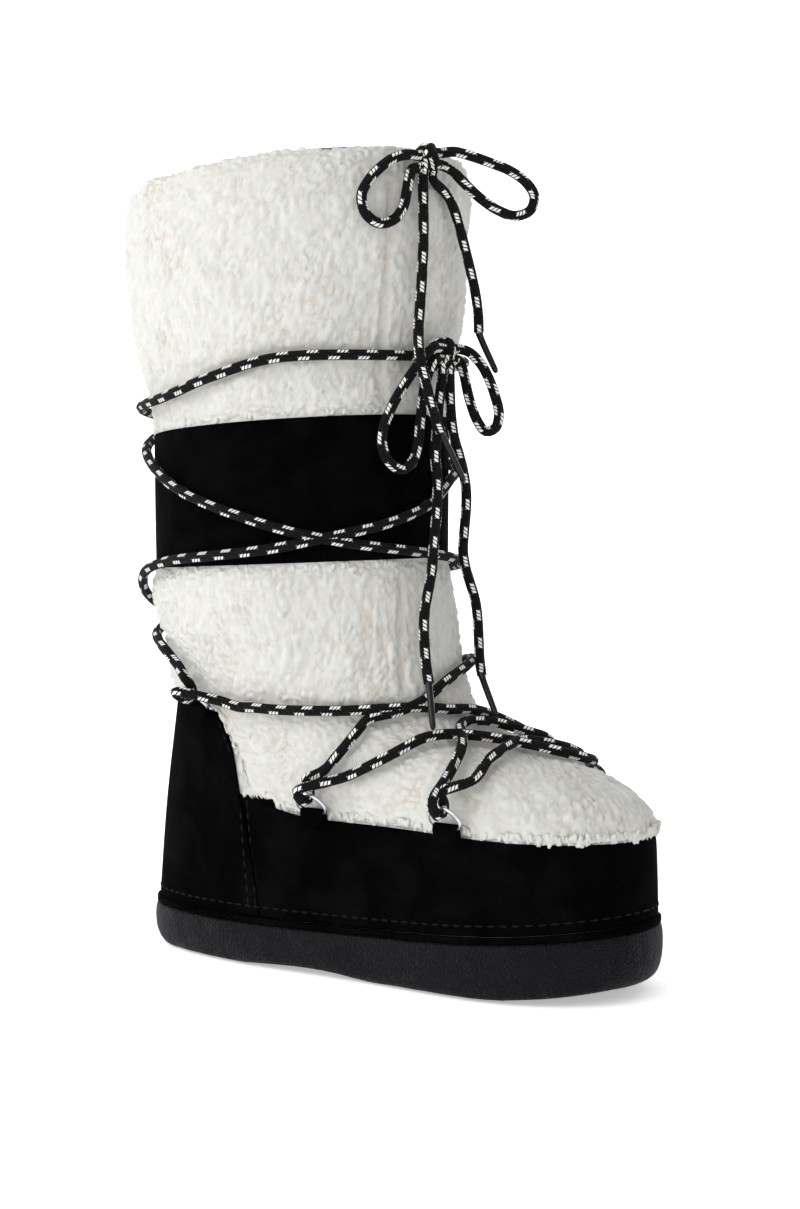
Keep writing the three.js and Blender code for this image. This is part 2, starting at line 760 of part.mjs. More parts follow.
// The lace round the shaft, as rows of [degrees, height, share of the way from the suede out to the pile]
const rightWrap = [[62, 156, 1], [54, 165, 1], [38, 169, 1], [0, 177, 1.1], [-50, 189, 1.1], [-105, 200, 1.1],
  [-142, 205, 1], [-158, 207.5, 0.8], [-172, 210, 0.4], [-185, 212, 0], [-217, 217, 0], [-238, 222.5, 0],
  [-258, 230.5, 0], [-284, 242.5, 0], [-314, 259.5, 0.05], [-330, 266, 0.3], [-345, 271.5, 0.7], [-360, 276.5, 1],
  [-400, 284.5, 1.1], [-424, 288.5, 1], [-439, 293.4, 1], [-454, 301, 1], [-466, 307, 1], [-478, 310.5, 1],
  [-494, 311.6, 1.15], [-520, 311.8, 1.4], [-541, 311.8, 1.5]];
const leftWrap = [[298, 156, 1], [306, 165, 1], [322, 169, 1], [360, 177.5, 1.1], [378, 186, 1.1],
  [395, 194.5, 1.1], [408, 202, 0.9], [420, 206, 0.4], [432, 208.5, 0.1], [449, 210.7, 0], [473, 214.5, 0],
  [491, 219.6, 0], [515, 226.5, 0], [541, 238.5, 0], [555, 248.5, 0], [590, 258, 0], [640, 267.5, 0.1],
  [665, 272, 0.4], [690, 276, 1], [742, 284, 1.1], [784, 288.5, 1], [799, 293.4, 1], [814, 301, 1],
  [826, 307, 1], [838, 310.5, 1], [854, 311.6, 1.15], [880, 311.8, 1.4], [888, 311.8, 1.5]];

const onSuede = clearance + suede + laceDiameter / 2 + laceSlack;
const onPile = pile + curl + laceDiameter / 2 + laceSlack;

function laid([angle, height, raised = 1]) {
  return wallOffset(rowAtHeight(angle, height), angle, mix(onSuede, onPile, raised));
}

// A laid length: its rows with as many more between them as the wall's curve asks for
const laidStep = 11;

function laidPoints(rows) {
  const points = [laid(rows[0])];
  rows.slice(1).forEach((row, index) => {
    const from = rows[index];
    const count = Math.ceil(Math.abs(row[0] - from[0]) / laidStep);
    for (let step = 1; step <= count; step += 1) {
      const place = index + step / count;
      points.push(laid([0, 1, 2].map((column) => through(rows.map((values) => values[column] ?? 1), place))));
    }
  });
  return points;
}

function strand(from, fromSide, rows, to, toSide) {
  const start = threadPoints(ringAngles[from]);
  const end = threadPoints(ringAngles[to]);
  return [start.hole, ...start[fromSide], ...laidPoints(rows), ...[...end[toSide]].reverse(), end.hole];
}

function joined(geometries) {
  return fromManifold(geometries.map(toManifold).reduce((whole, solid) => whole.add(solid)));
}

function footLaceGeometry() {
  const strands = [
    strand('d_ring_right_front', 'inside', barRight, 'd_ring_left_front', 'inside'),
    strand('d_ring_right_front', 'outside', frontToMiddle, 'd_ring_left_middle', 'inside'),
    strand('d_ring_right_middle', 'outside', middleToFront, 'd_ring_left_front', 'outside'),
    strand('d_ring_right_middle', 'inside', middleToBack, 'd_ring_left_back', 'outside'),
    strand('d_ring_right_back', 'outside', backToMiddle, 'd_ring_left_middle', 'outside'),
  ];
  return joined(strands.map(laidGeometry));
}

function shaftLaceGeometry() {
  const wraps = [['d_ring_right_back', rightWrap], ['d_ring_left_back', leftWrap]].map(([ring, rows]) => {
    const last = threadPoints(ringAngles[ring]).inside.at(-1);
    return [last, ...laidPoints(rows)];
  });
  return joined(wraps.map(laidGeometry));
}

// Bows: a knot, two loops and two ends each. Their points are in millimetres, each list from the knot out.
const cordPoints = {
  collar_loop_right: [[31.2, -25.6, 409.3], [30.3, -28.7, 409.4], [28.3, -34, 409.4], [25.4, -39.9, 406.4],
    [22.2, -45.2, 401], [19.2, -50, 394.5], [17.2, -53.2, 386], [18.3, -51.5, 377], [22.3, -45.5, 372.5],
    [26.5, -38.5, 375.5], [28.9, -34.3, 383], [29.6, -32.4, 391], [30, -31, 398], [30.3, -28.7, 403.2],
    [31.2, -25.6, 403.6]],
  collar_loop_left: [[34.7, -12.9, 409.3], [35.7, -9.4, 409.8], [39.9, -5.6, 410.4], [46.1, -0.3, 408.5],
    [52.8, 7.8, 405.5], [59.3, 15.8, 402], [64.5, 22.6, 396.6], [66.9, 26.4, 390], [65.2, 25, 383],
    [59.6, 19.7, 380.2], [53.9, 12.2, 382.8], [48.6, 5, 388], [43.4, -1.4, 395], [38.8, -5.8, 401],
    [35.7, -9.4, 403.4], [34.7, -12.9, 403.7]],
  collar_end_right: [[32.2, -21.9, 399], [32.2, -22, 395.5], [32.8, -22.6, 381], [33, -22.8, 366],
    [32.8, -23.6, 351.5], [32.8, -25, 338], [33.8, -28, 326], [35.8, -31.4, 315], [37.6, -31.8, 305],
    [38.6, -29.6, 296.8], [38.8, -25.6, 287], [38.7, -20.8, 278.5], [38.7, -16, 272.4]],
  collar_end_left: [[33.6, -16.3, 399], [33.8, -15.9, 396], [35.6, -7.6, 390.5], [36.8, -1.6, 383.5],
    [37.8, 3.2, 373], [38.8, 8.9, 358.6], [39.8, 13.8, 344], [39.6, 17.4, 332], [39.2, 18.6, 323]],
  lower_loop_right: [[36.3, -15, 313.6], [36, -18.2, 313.2], [33.8, -23.6, 309], [30.2, -27.8, 301.5],
    [26, -31.6, 293], [22.6, -35.2, 284], [20, -38.4, 274.5], [19.4, -39, 265.5], [21.4, -35.6, 257],
    [25, -29, 253.6], [27.8, -23.6, 258.4], [29, -21.4, 267], [29.8, -20.6, 277], [31, -20.8, 287],
    [33, -20.6, 297], [35.2, -19.4, 304.4], [36, -18.2, 307.5], [36.3, -15, 307.9]],
  lower_loop_left: [[37.7, -1.6, 313.6], [38, 1.5, 313.8], [41.6, 5.6, 312.4], [46.3, 8.4, 307], [50, 10.6, 299.5],
    [52.4, 12.6, 291], [53.8, 14.4, 282], [52.4, 13.4, 274.6], [48.6, 10.4, 272.8], [45.2, 7.8, 278],
    [42.8, 6, 285.5], [41, 4.8, 293.5], [39.8, 3.8, 301], [38.4, 2, 307.4], [37.7, -1.6, 307.9]],
  lower_end_right: [[36.5, -11.3, 302.2], [36.4, -11.4, 298.5], [35, -11.8, 286], [33.8, -12.2, 272],
    [33, -11.9, 258.5], [32.6, -9.4, 248.5], [32.4, -9.4, 236], [32.2, -10.9, 223.6], [32, -12.4, 212],
    [32.4, -14.6, 201.3], [33, -19.6, 190], [34, -23.6, 180], [35.6, -25.8, 169.6], [38.6, -28.8, 158.4],
    [42.4, -32.2, 149]],
  lower_end_left: [[37.1, -5.4, 302.2], [37.1, -5.3, 298.5], [36.4, -3.8, 289.5], [35.6, -1.2, 278.4],
    [35, 2.8, 268.6], [34.4, 8, 261], [33.8, 12.4, 253.6], [33.2, 16.4, 243.5], [32.8, 17, 234],
    [32.4, 15.8, 222], [32.4, 14.8, 213], [32.8, 16.2, 205], [34, 18.6, 197], [35.6, 21.4, 187.4],
    [36.8, 22, 177.2], [38.2, 20.8, 166], [40, 18.8, 157], [43.2, 15.6, 150]],
};

// Aglets: from the cord's end to the tip
const agletEnds = {
  collar_aglet_right: [[38.7, -15.3, 271.6], [42.8, -0.6, 247.6]],
  collar_aglet_left: [[39.5, 18.9, 322], [45.6, 25.4, 302.8]],
  lower_aglet_right: [[42.6, -32.4, 148.6], [49.4, -39, 127.2]],
  lower_aglet_left: [[43.8, 15, 149.1], [57.2, 7, 130.6]],
};

// Knots: middle, half width, half depth and half height, and the degrees that they face
const knots = {
  collar_knot: { middle: [33, -19, 406.5], width: 6, depth: 4.4, height: 7, facing: -15.7 },
  lower_knot: { middle: [33.6, -8, 310.5], width: 6, depth: 6.2, height: 8, facing: -5.8 },
};
const knotBevel = 1.5;

function knotGeometry({ middle, width, depth, height, facing }) {
  const outline = new THREE.Shape();
  const [across, up] = [width - knotBevel, height - knotBevel];
  outline.moveTo(-across, -up);
  outline.lineTo(across, -up);
  outline.lineTo(across, up);
  outline.lineTo(-across, up);
  const geometry = new THREE.ExtrudeGeometry(outline, {
    depth: (depth - knotBevel) * 2, bevelSize: knotBevel, bevelThickness: knotBevel, bevelSegments: 2,
  });
  geometry.translate(0, 0, knotBevel - depth);
  geometry.applyMatrix4(new THREE.Matrix4().makeBasis(
    new THREE.Vector3(0, 1, 0), new THREE.Vector3(0, 0, 1), new THREE.Vector3(1, 0, 0),
  ));
  geometry.rotateZ(radians(facing));
  geometry.translate(...middle);
  return geometry;
}

function agletGeometry([from, to]) {
  const start = new THREE.Vector3(...from);
  const along = new THREE.Vector3(...to).sub(start);
  const geometry = new THREE.CylinderGeometry(agletDiameter * 0.42, agletDiameter / 2, along.length(), 8, 1);
  geometry.translate(0, along.length() / 2, 0);
  const turn = new THREE.Quaternion().setFromUnitVectors(new THREE.Vector3(0, 1, 0), along.normalize());
  geometry.applyQuaternion(turn);
  geometry.translate(start.x, start.y, start.z);
  return geometry;
}

const cordSides = 8;
const loopStep = 11;
const endStep = 12.5;

// The boot
function piece(name, geometry, finish) {
  const [color, roughness, metalness] = finishes[finish];
  const mesh = new THREE.Mesh(geometry, new THREE.MeshStandardMaterial({ color, roughness, metalness }));
  mesh.name = name;
  return mesh;
}

const boot = new THREE.Group();
boot.add(piece('outsole', outsoleGeometry(), 'rubber'));
boot.add(piece('insole', insoleGeometry(), 'footbed'));
boot.add(piece('upper', upperGeometry(), 'shearling'));
boot.add(piece('welt', weltGeometry(), 'suede'));
boot.add(piece('foot_panel', footPanelGeometry(), 'suede'));
boot.add(piece('heel_counter', heelCounterGeometry(), 'suede'));
boot.add(piece('shaft_band', shaftBandGeometry(), 'suede'));
Object.entries(ringAngles).forEach(([name, angle]) => {
  const frame = ringFrame(angle);
  boot.add(piece(name, ringGeometry(frame), 'steel'));
  boot.add(piece(name.replace('d_ring', 'ring_tab'), tabGeometry(frame), 'suede'));
});
boot.add(piece('lace_foot', footLaceGeometry(), 'lace'));
boot.add(piece('lace_shaft', shaftLaceGeometry(), 'lace'));

// The origin lies on the floor under the middle of the boot's box without its bows
const box = new THREE.Box3().setFromObject(boot, true);
boot.position.set(-(box.min.x + box.max.x) / 2, -(box.min.y + box.max.y) / 2, 0);

Object.entries(knots).forEach(([name, knot]) => boot.add(piece(name, knotGeometry(knot), 'lace')));
Object.entries(cordPoints).forEach(([name, points]) => {
  const step = name.includes('loop') ? loopStep : endStep;
  const route = points.map((point) => new THREE.Vector3(...point));
  boot.add(piece(name, tubeGeometry(route, laceDiameter, cordSides, step), 'lace'));
});
Object.entries(agletEnds).forEach(([name, ends]) => boot.add(piece(name, agletGeometry(ends), 'aglet')));

export default boot;
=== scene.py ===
import math
import random

import bmesh
import bpy
from bpy.props import CollectionProperty, FloatProperty, FloatVectorProperty, IntProperty, PointerProperty
from mathutils import Matrix, Vector, noise
from mathutils.bvhtree import BVHTree
from mathutils.kdtree import KDTree


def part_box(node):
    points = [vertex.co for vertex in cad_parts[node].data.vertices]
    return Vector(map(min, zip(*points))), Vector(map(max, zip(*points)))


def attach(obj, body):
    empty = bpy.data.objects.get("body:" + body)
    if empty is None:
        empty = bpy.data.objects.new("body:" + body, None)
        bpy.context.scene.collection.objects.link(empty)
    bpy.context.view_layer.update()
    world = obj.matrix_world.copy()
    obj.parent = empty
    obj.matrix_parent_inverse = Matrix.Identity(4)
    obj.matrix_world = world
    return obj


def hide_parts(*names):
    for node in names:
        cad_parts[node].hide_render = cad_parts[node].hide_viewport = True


bl_info = {
    "name": "Suede boot with shearling shaft",
    "version": (1, 0, 0),
    "blender": (4, 5, 0),
    "location": "3D View > Sidebar > Boot",
    "description": "Dresses a suede boot with pile, suede, rubber, rings and a wound lace",
    "category": "Add Mesh",
}

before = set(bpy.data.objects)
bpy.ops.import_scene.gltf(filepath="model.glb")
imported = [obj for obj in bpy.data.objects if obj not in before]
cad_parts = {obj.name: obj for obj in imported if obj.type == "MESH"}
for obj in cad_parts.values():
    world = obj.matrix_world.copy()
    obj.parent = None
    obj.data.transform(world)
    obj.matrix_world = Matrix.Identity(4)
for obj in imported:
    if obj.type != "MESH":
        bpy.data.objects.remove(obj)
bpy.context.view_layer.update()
MM = 0.001

# Sizes of the boot, in millimetres, as the solids have them
OUTSOLE_LENGTH = 300
BALL_WIDTH = 112
INSTEP_HEIGHT = 148
SHAFT_DEPTH = 154
SHAFT_WIDTH = 140
SHAFT_CENTRE_X = -59
BAND_BOTTOM = 208
BAND_HEIGHT = 74.5
BOOT_HEIGHT = 414
HEEL_SOLE = 22
TOE_SOLE = 34
SUEDE = 1.8
CLEARANCE = 0.3
PILE = 5
CURL = 1.1
RIM_RISE = 4
TOE_PANEL = 78
SIDE_PANEL = 80.5
JOINT_PANEL = 88
COUNTER_FRONT = 131
COUNTER_BACK = 140
COUNTER_FOOT_ANGLE = 70
COUNTER_TOP_ANGLE = 63
RING_RISE = 14
RING_WIRE = 1.8
RING_LEAN = 35
BAR_OFF = 6.4
BAR_ABOVE = 3
LACE = 5.2
LACE_SLACK = 0.6
LAID_STEP = 11
JOINT_X = 52
JOINT_REACH = 14
BACKDROP_FACING = 190
BACKDROP_SPAN = 260
BACKDROP_RADIUS = 3.2

# Seams of the shearling beside the front, each by its lower height and angle, and its upper ones
SEAMS = ((146, 153, 208, 165), (288, 153, 398, 156))
SEAM_DEPTH = 1.3

# Rings of the last, as shares: back, rise at the back, front, rise at the front, and five half widths
FOOT_RINGS = [
    (-0.480, 0.149, 0.483, 0.230, (1.39, 1.018, 0.848, 1.214, 1.49)),
    (-0.471, 0.345, 0.481, 0.385, (1.39, 1.020, 0.857, 1.214, 1.48)),
    (-0.459, 0.568, 0.477, 0.534, (1.40, 1.030, 0.850, 1.180, 1.45)),
    (-0.449, 0.676, 0.453, 0.608, (1.40, 1.045, 0.860, 1.080, 1.26)),
    (-0.440, 0.777, 0.388, 0.666, (1.38, 1.035, 0.850, 0.935, 0.86)),
    (-0.431, 0.865, 0.313, 0.728, (1.34, 1.036, 0.843, 0.810, 0.67)),
    (-0.424, 0.932, 0.246, 0.764, (1.31, 1.060, 0.855, 0.755, 0.60)),
    (-0.420, 0.993, 0.177, 0.808, (1.28, 1.085, 0.885, 0.800, 0.64)),
    (-0.421, 1.054, 0.129, 0.866, (1.25, 1.100, 0.930, 0.890, 0.82)),
]
ANKLE_RINGS = [
    (-0.896, 0.333, 1.160, -0.030, (1.00, 0.905, 0.820, 0.835, 0.90)),
    (-0.942, 0.533, 1.085, 0.290, (0.98, 0.945, 0.900, 0.895, 0.94)),
    (-0.980, 0.750, 1.026, 0.680, (0.99, 0.985, 0.975, 0.965, 0.97)),
]
BAND_RINGS = [
    (-0.994, -0.094, 1.006, 0, (1, 1, 1, 1, 1)),
    (-1.006, 0.866, 1.013, 1, (1.007,) * 5),
]
CUFF_RINGS = [
    (-0.990, 0.060, 0.994, 0.189, (0.99,) * 5),
    (-1.084, 0.285, 1.058, 0.381, (1.08,) * 5),
    (-1.136, 0.502, 1.084, 0.622, (1.12,) * 5),
    (-1.149, 0.703, 1.097, 0.847, (1.136,) * 5),
    (-1.110, 0.855, 1.060, 1, (1.10,) * 5),
]

# The laid lace, as rows of degrees round from the back and height; round the shaft, a third column tells how
# far it lies out from the suede to the pile
RING_ANGLES = {
    "d_ring_right_front": 118,
    "d_ring_right_middle": 84,
    "d_ring_right_back": 55,
    "d_ring_left_front": 236,
    "d_ring_left_middle": 268,
    "d_ring_left_back": 305,
}
STRANDS = [
    ("d_ring_right_front", "inside", [(129, 98.5), (140, 106.5), (154, 110.5), (172, 112), (190, 109.5),
                                      (208, 105), (220, 101.5)], "d_ring_left_front", "inside"),
    ("d_ring_right_front", "outside", [(125, 102), (134, 110), (150, 117.5), (166, 121), (182, 120),
                                       (206, 113.5), (232, 106), (252, 102.5)], "d_ring_left_middle", "inside"),
    ("d_ring_right_middle", "outside", [(97, 102.5), (107, 107.5), (125, 114.5), (140, 116.2), (160, 113),
                                        (180, 107.2), (200, 102.5), (224, 98.5)], "d_ring_left_front", "outside"),
    ("d_ring_right_middle", "inside", [(91, 104.5), (98, 111.5), (108, 119), (124, 127), (141, 133), (156, 137.5),
                                       (171, 145), (186, 150.5), (210, 154.5), (250, 152), (284, 148)],
     "d_ring_left_back", "outside"),
    ("d_ring_right_back", "outside", [(71, 139), (79, 136.2), (106, 136.6), (140, 136.4), (154, 135),
                                      (166, 130.5), (184, 126), (206, 120.5), (230, 112.5), (252, 106.5)],
     "d_ring_left_middle", "outside"),
]
WRAPS = [
    ("d_ring_right_back", [
        (56, 155, 1), (49, 162, 1), (36, 168.5, 1), (0, 177, 1.1), (-50, 189, 1.1), (-105, 200, 1.1),
        (-142, 205, 1), (-158, 207.5, 0.8), (-172, 210, 0.4), (-185, 212, 0), (-217, 217, 0), (-238, 222.5, 0),
        (-258, 230.5, 0), (-284, 242.5, 0), (-314, 259.5, 0.05), (-330, 266, 0.3), (-345, 271.5, 0.7),
        (-360, 276.5, 1), (-400, 284.5, 1.1), (-424, 288.5, 1), (-439, 293.4, 1), (-454, 301, 1),
        (-466, 307, 1), (-478, 310.5, 1), (-494, 311.6, 1.15), (-520, 311.8, 1.4), (-541, 311.8, 1.5)]),
    ("d_ring_left_back", [
        (304, 155, 1), (311, 162, 1), (324, 168.5, 1), (360, 177.5, 1.1), (378, 186, 1.1), (395, 194.5, 1.1),
        (408, 202, 0.9), (420, 206, 0.4), (432, 208.5, 0.1), (449, 210.7, 0), (473, 214.5, 0), (491, 219.6, 0),
        (515, 226.5, 0), (541, 238.5, 0), (555, 248.5, 0), (590, 258, 0), (640, 267.5, 0.1), (665, 272, 0.4),
        (690, 276, 1), (742, 284, 1.1), (784, 288.5, 1), (799, 293.4, 1), (814, 301, 1), (826, 307, 1),
        (838, 310.5, 1), (854, 311.6, 1.15), (880, 311.8, 1.4), (888, 311.8, 1.5)]),
]

# The bows' cords, in metres before the boot is centred on its box, each from the knot out
CORD_POINTS = {
    "collar_loop_right": [
        (0.0312, -0.0256, 0.4068), (0.0303, -0.0287, 0.4068), (0.0283, -0.034, 0.4062),
        (0.0254, -0.0399, 0.4036), (0.0222, -0.0452, 0.399), (0.0192, -0.05, 0.393),
        (0.0172, -0.0532, 0.3855), (0.0183, -0.0515, 0.377), (0.0223, -0.0455, 0.3725),
        (0.0265, -0.0385, 0.375), (0.0287, -0.0343, 0.381), (0.0295, -0.0326, 0.388),
        (0.03, -0.0312, 0.395), (0.0303, -0.0287, 0.4), (0.0312, -0.0256, 0.4006),
    ],
    "collar_loop_left": [
        (0.0347, -0.0129, 0.4093), (0.0357, -0.0094, 0.4098), (0.0399, -0.0056, 0.4104),
        (0.0461, -0.0003, 0.4085), (0.0528, 0.0078, 0.4055), (0.0593, 0.0158, 0.402),
        (0.0645, 0.0226, 0.3966), (0.0669, 0.0264, 0.39), (0.0652, 0.025, 0.383),
        (0.0596, 0.0197, 0.3802), (0.0539, 0.0122, 0.3828), (0.0486, 0.005, 0.388),
        (0.0434, -0.0014, 0.395), (0.0388, -0.0058, 0.401), (0.0357, -0.0094, 0.4034),
        (0.0347, -0.0129, 0.4037),
    ],
    "collar_end_right": [
        (0.0322, -0.0219, 0.399), (0.0322, -0.022, 0.3955), (0.0328, -0.0226, 0.381),
        (0.033, -0.0228, 0.366), (0.0328, -0.0236, 0.3515), (0.0328, -0.025, 0.338),
        (0.0338, -0.028, 0.326), (0.0358, -0.0314, 0.315), (0.0376, -0.0318, 0.305),
        (0.0386, -0.0296, 0.2968), (0.0388, -0.0256, 0.287), (0.0387, -0.0208, 0.2785),
        (0.0387, -0.016, 0.2724),
    ],
    "collar_end_left": [
        (0.0336, -0.0163, 0.399), (0.0338, -0.0159, 0.396), (0.0356, -0.0076, 0.3905),
        (0.0368, -0.0016, 0.3835), (0.0378, 0.0032, 0.373), (0.0388, 0.0089, 0.3586),
        (0.0398, 0.0138, 0.344), (0.0396, 0.0174, 0.332), (0.0392, 0.0186, 0.323),
    ],
    "lower_loop_right": [
        (0.0363, -0.015, 0.3136), (0.036, -0.0182, 0.3132), (0.0338, -0.0236, 0.309),
        (0.0302, -0.0278, 0.3015), (0.026, -0.0316, 0.293), (0.0226, -0.0352, 0.284),
        (0.02, -0.0384, 0.2745), (0.0194, -0.039, 0.2655), (0.0214, -0.0356, 0.257),
        (0.025, -0.029, 0.2536), (0.0278, -0.0236, 0.2584), (0.029, -0.0214, 0.267),
        (0.0298, -0.0206, 0.277), (0.031, -0.0208, 0.287), (0.033, -0.0206, 0.297),
        (0.0352, -0.0194, 0.3044), (0.036, -0.0182, 0.3075), (0.0363, -0.015, 0.3079),
    ],
    "lower_loop_left": [
        (0.0377, -0.0016, 0.3136), (0.038, 0.0015, 0.3138), (0.0416, 0.0056, 0.3124),
        (0.0463, 0.0084, 0.307), (0.05, 0.0106, 0.2995), (0.0524, 0.0126, 0.291), (0.0538, 0.0144, 0.282),
        (0.0524, 0.0134, 0.2746), (0.0486, 0.0104, 0.2728), (0.0452, 0.0078, 0.278),
        (0.0428, 0.006, 0.2855), (0.041, 0.0048, 0.2935), (0.0398, 0.0038, 0.301),
        (0.0384, 0.002, 0.3074), (0.0377, -0.0016, 0.3079),
    ],
    "lower_end_right": [
        (0.0365, -0.0113, 0.3022), (0.0364, -0.0114, 0.2985), (0.035, -0.0118, 0.286),
        (0.0338, -0.0122, 0.272), (0.033, -0.0119, 0.2585), (0.0326, -0.0094, 0.2485),
        (0.0324, -0.0094, 0.236), (0.0322, -0.0109, 0.2236), (0.032, -0.0124, 0.212),
        (0.0324, -0.0146, 0.2013), (0.033, -0.0196, 0.19), (0.034, -0.0236, 0.18),
        (0.0356, -0.0258, 0.1696), (0.0386, -0.0288, 0.1584), (0.0424, -0.0322, 0.149),
    ],
    "lower_end_left": [
        (0.0371, -0.0054, 0.3022), (0.0371, -0.0053, 0.2985), (0.0364, -0.0038, 0.2895),
        (0.0356, -0.0012, 0.2784), (0.035, 0.0028, 0.2686), (0.0344, 0.008, 0.261),
        (0.0338, 0.0124, 0.2536), (0.0332, 0.0164, 0.2435), (0.0328, 0.017, 0.234),
        (0.0324, 0.0158, 0.222), (0.0324, 0.0148, 0.213), (0.0328, 0.0162, 0.205), (0.034, 0.0186, 0.197),
        (0.0356, 0.0214, 0.1874), (0.0368, 0.022, 0.1772), (0.0382, 0.0208, 0.166), (0.04, 0.0188, 0.157),
        (0.0432, 0.0156, 0.15),
    ],
}
AGLETS = {
    "collar_aglet_right": ((0.0387, -0.0153, 0.2716), (0.0428, -0.0006, 0.2476)),
    "collar_aglet_left": ((0.0395, 0.0189, 0.322), (0.0456, 0.0254, 0.3028)),
    "lower_aglet_right": ((0.0426, -0.0324, 0.1486), (0.0494, -0.039, 0.1272)),
    "lower_aglet_left": ((0.0438, 0.015, 0.1491), (0.0572, 0.007, 0.1306)),
}
KNOTS = {
    "collar_knot": {"middle": (0.033, -0.019, 0.4065), "facing": -15.7},
    "lower_knot": {"middle": (0.0336, -0.008, 0.3105), "facing": -5.8},
}


# The wall of the boot
def mix(start, end, share):
    return start + (end - start) * share


def ease(share):
    held = min(1.0, max(0.0, share))
    return held * held * (3 - 2 * held)


def through(values, place):
    last = len(values) - 1
    held = min(last, max(0.0, place))
    low = min(last - 1, int(held))
    share = held - low

    def slope(index):
        if index < 1:
            return values[1] - values[0]
        if index >= last:
            return values[last] - values[last - 1]
        before = values[index] - values[index - 1]
        after = values[index + 1] - values[index]
        return 2 * before * after / (before + after) if before * after > 0 else 0

    square = share * share
    cube = square * share
    return (values[low] * (2 * cube - 3 * square + 1) + slope(low) * (cube - 2 * square + share)
            + values[low + 1] * (3 * square - 2 * cube) + slope(low + 1) * (cube - square))


def rings_from(table, zero_x, unit_x, zero_z, unit_z, half_width):
    return [(zero_x + back * unit_x, zero_z + back_rise * unit_z, zero_x + front * unit_x,
             zero_z + front_rise * unit_z, [share * half_width for share in widths])
            for back, back_rise, front, front_rise, widths in table]


BAND_TOP = BAND_BOTTOM + BAND_HEIGHT
COLLAR = BOOT_HEIGHT - RIM_RISE - CURL - CLEARANCE
RINGS = (
    rings_from(FOOT_RINGS, 0, OUTSOLE_LENGTH, 0, INSTEP_HEIGHT, BALL_WIDTH / 2)
    + rings_from(ANKLE_RINGS, SHAFT_CENTRE_X, SHAFT_DEPTH / 2, INSTEP_HEIGHT, BAND_BOTTOM - INSTEP_HEIGHT,
                 SHAFT_WIDTH / 2)
    + rings_from(BAND_RINGS, SHAFT_CENTRE_X, SHAFT_DEPTH / 2, BAND_BOTTOM, BAND_HEIGHT, SHAFT_WIDTH / 2)
    + rings_from(CUFF_RINGS, SHAFT_CENTRE_X, SHAFT_DEPTH / 2, BAND_TOP, COLLAR - BAND_TOP, SHAFT_WIDTH / 2)
)
COLLAR_ROW = len(RINGS) - 1
BACK_X, BACK_Z, FRONT_X, FRONT_Z = ([ring[column] for ring in RINGS] for column in range(4))
HALF_WIDTHS = [[ring[4][index] for ring in RINGS] for index in range(5)]


def folded(angle):
    return abs((angle + 180) % 360 - 180)


def sole_top(share):
    return mix(HEEL_SOLE, TOE_SOLE, share ** 3)


def wall_point(row, angle):
    turn = math.radians(angle)
    share = (1 - math.cos(turn)) / 2
    half_width = through([through(column, row) for column in HALF_WIDTHS], folded(angle) / 45)
    follow = 1 - ease(row / 2)
    return Vector((
        mix(through(BACK_X, row), through(FRONT_X, row), share),
        -math.sin(turn) * half_width,
        mix(through(BACK_Z, row), through(FRONT_Z, row), share)
        + follow * (sole_top(share) - mix(HEEL_SOLE, TOE_SOLE, share)),
    ))


def wall_normal(row, angle):
    up = wall_point(min(COLLAR_ROW, row + 0.02), angle) - wall_point(max(0, row - 0.02), angle)
    around = wall_point(row, angle + 0.5) - wall_point(row, angle - 0.5)
    return around.cross(up).normalized()


def wall_offset(row, angle, out):
    return wall_point(row, angle) + wall_normal(row, angle) * out


def row_at_height(angle, height):
    low, high = 0.0, float(COLLAR_ROW)
    for _ in range(24):
        middle = (low + high) / 2
        if wall_point(middle, angle).z < height:
            low = middle
        else:
            high = middle
    return (low + high) / 2


def panel_edge(angle):
    behind = (JOINT_PANEL - SIDE_PANEL) * (1 - ease((folded(angle) - COUNTER_TOP_ANGLE) / 18))
    return behind + mix(SIDE_PANEL, TOE_PANEL, ease((folded(angle) - 100) / 40))


def suede_edge(angle):
    if folded(angle) < COUNTER_TOP_ANGLE + CLEARANCE:
        return mix(COUNTER_BACK, COUNTER_FRONT, ease(folded(angle) / COUNTER_TOP_ANGLE))
    return panel_edge(angle)


# The boot is centred on its box: the shift is read off the lower knot's solid
KNOT_LOW, KNOT_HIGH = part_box("lower_knot")
SHIFT = (KNOT_LOW + KNOT_HIGH) / 2 - Vector(KNOTS["lower_knot"]["middle"])
SHIFT.z = 0


def in_place(point):
    """A point in metres of the boot before it was centred, in the frame."""
    return Vector(point) + SHIFT


def placed(point):
    """A point in millimetres of the boot before it was centred, in the frame."""
    return Vector(point) * MM + SHIFT


# Where the laces run
def ring_frame(angle):
    row = row_at_height(angle, suede_edge(angle))
    out = wall_normal(row, angle)
    around = wall_point(row, angle + 1) - wall_point(row, angle - 1)
    around = (around - out * around.dot(out)).normalized()
    up = out.cross(around)
    middle = wall_point(row, angle) + out * BAR_OFF + up * BAR_ABOVE
    lean = math.radians(RING_LEAN)
    rise = up * math.cos(lean) + out * math.sin(lean)
    face = out * math.cos(lean) - up * math.sin(lean)
    return middle, around, rise, face


TURN_RADIUS = (RING_WIRE + LACE) / 2 + CLEARANCE * 2
RING_TOP = RING_RISE - RING_WIRE


def thread_points(angle):
    middle, _, rise, face = ring_frame(angle)

    def at(high, off):
        return middle + rise * (RING_TOP + high * TURN_RADIUS) + face * (off * TURN_RADIUS)

    slant = math.sqrt(0.5)
    return {
        "outside": [at(-slant, slant), at(0, 1), at(1.3, 1.1)],
        "hole": at(-1, 0),
        "inside": [at(-slant, -slant), at(0, -1), at(1.3, -1.1)],
    }


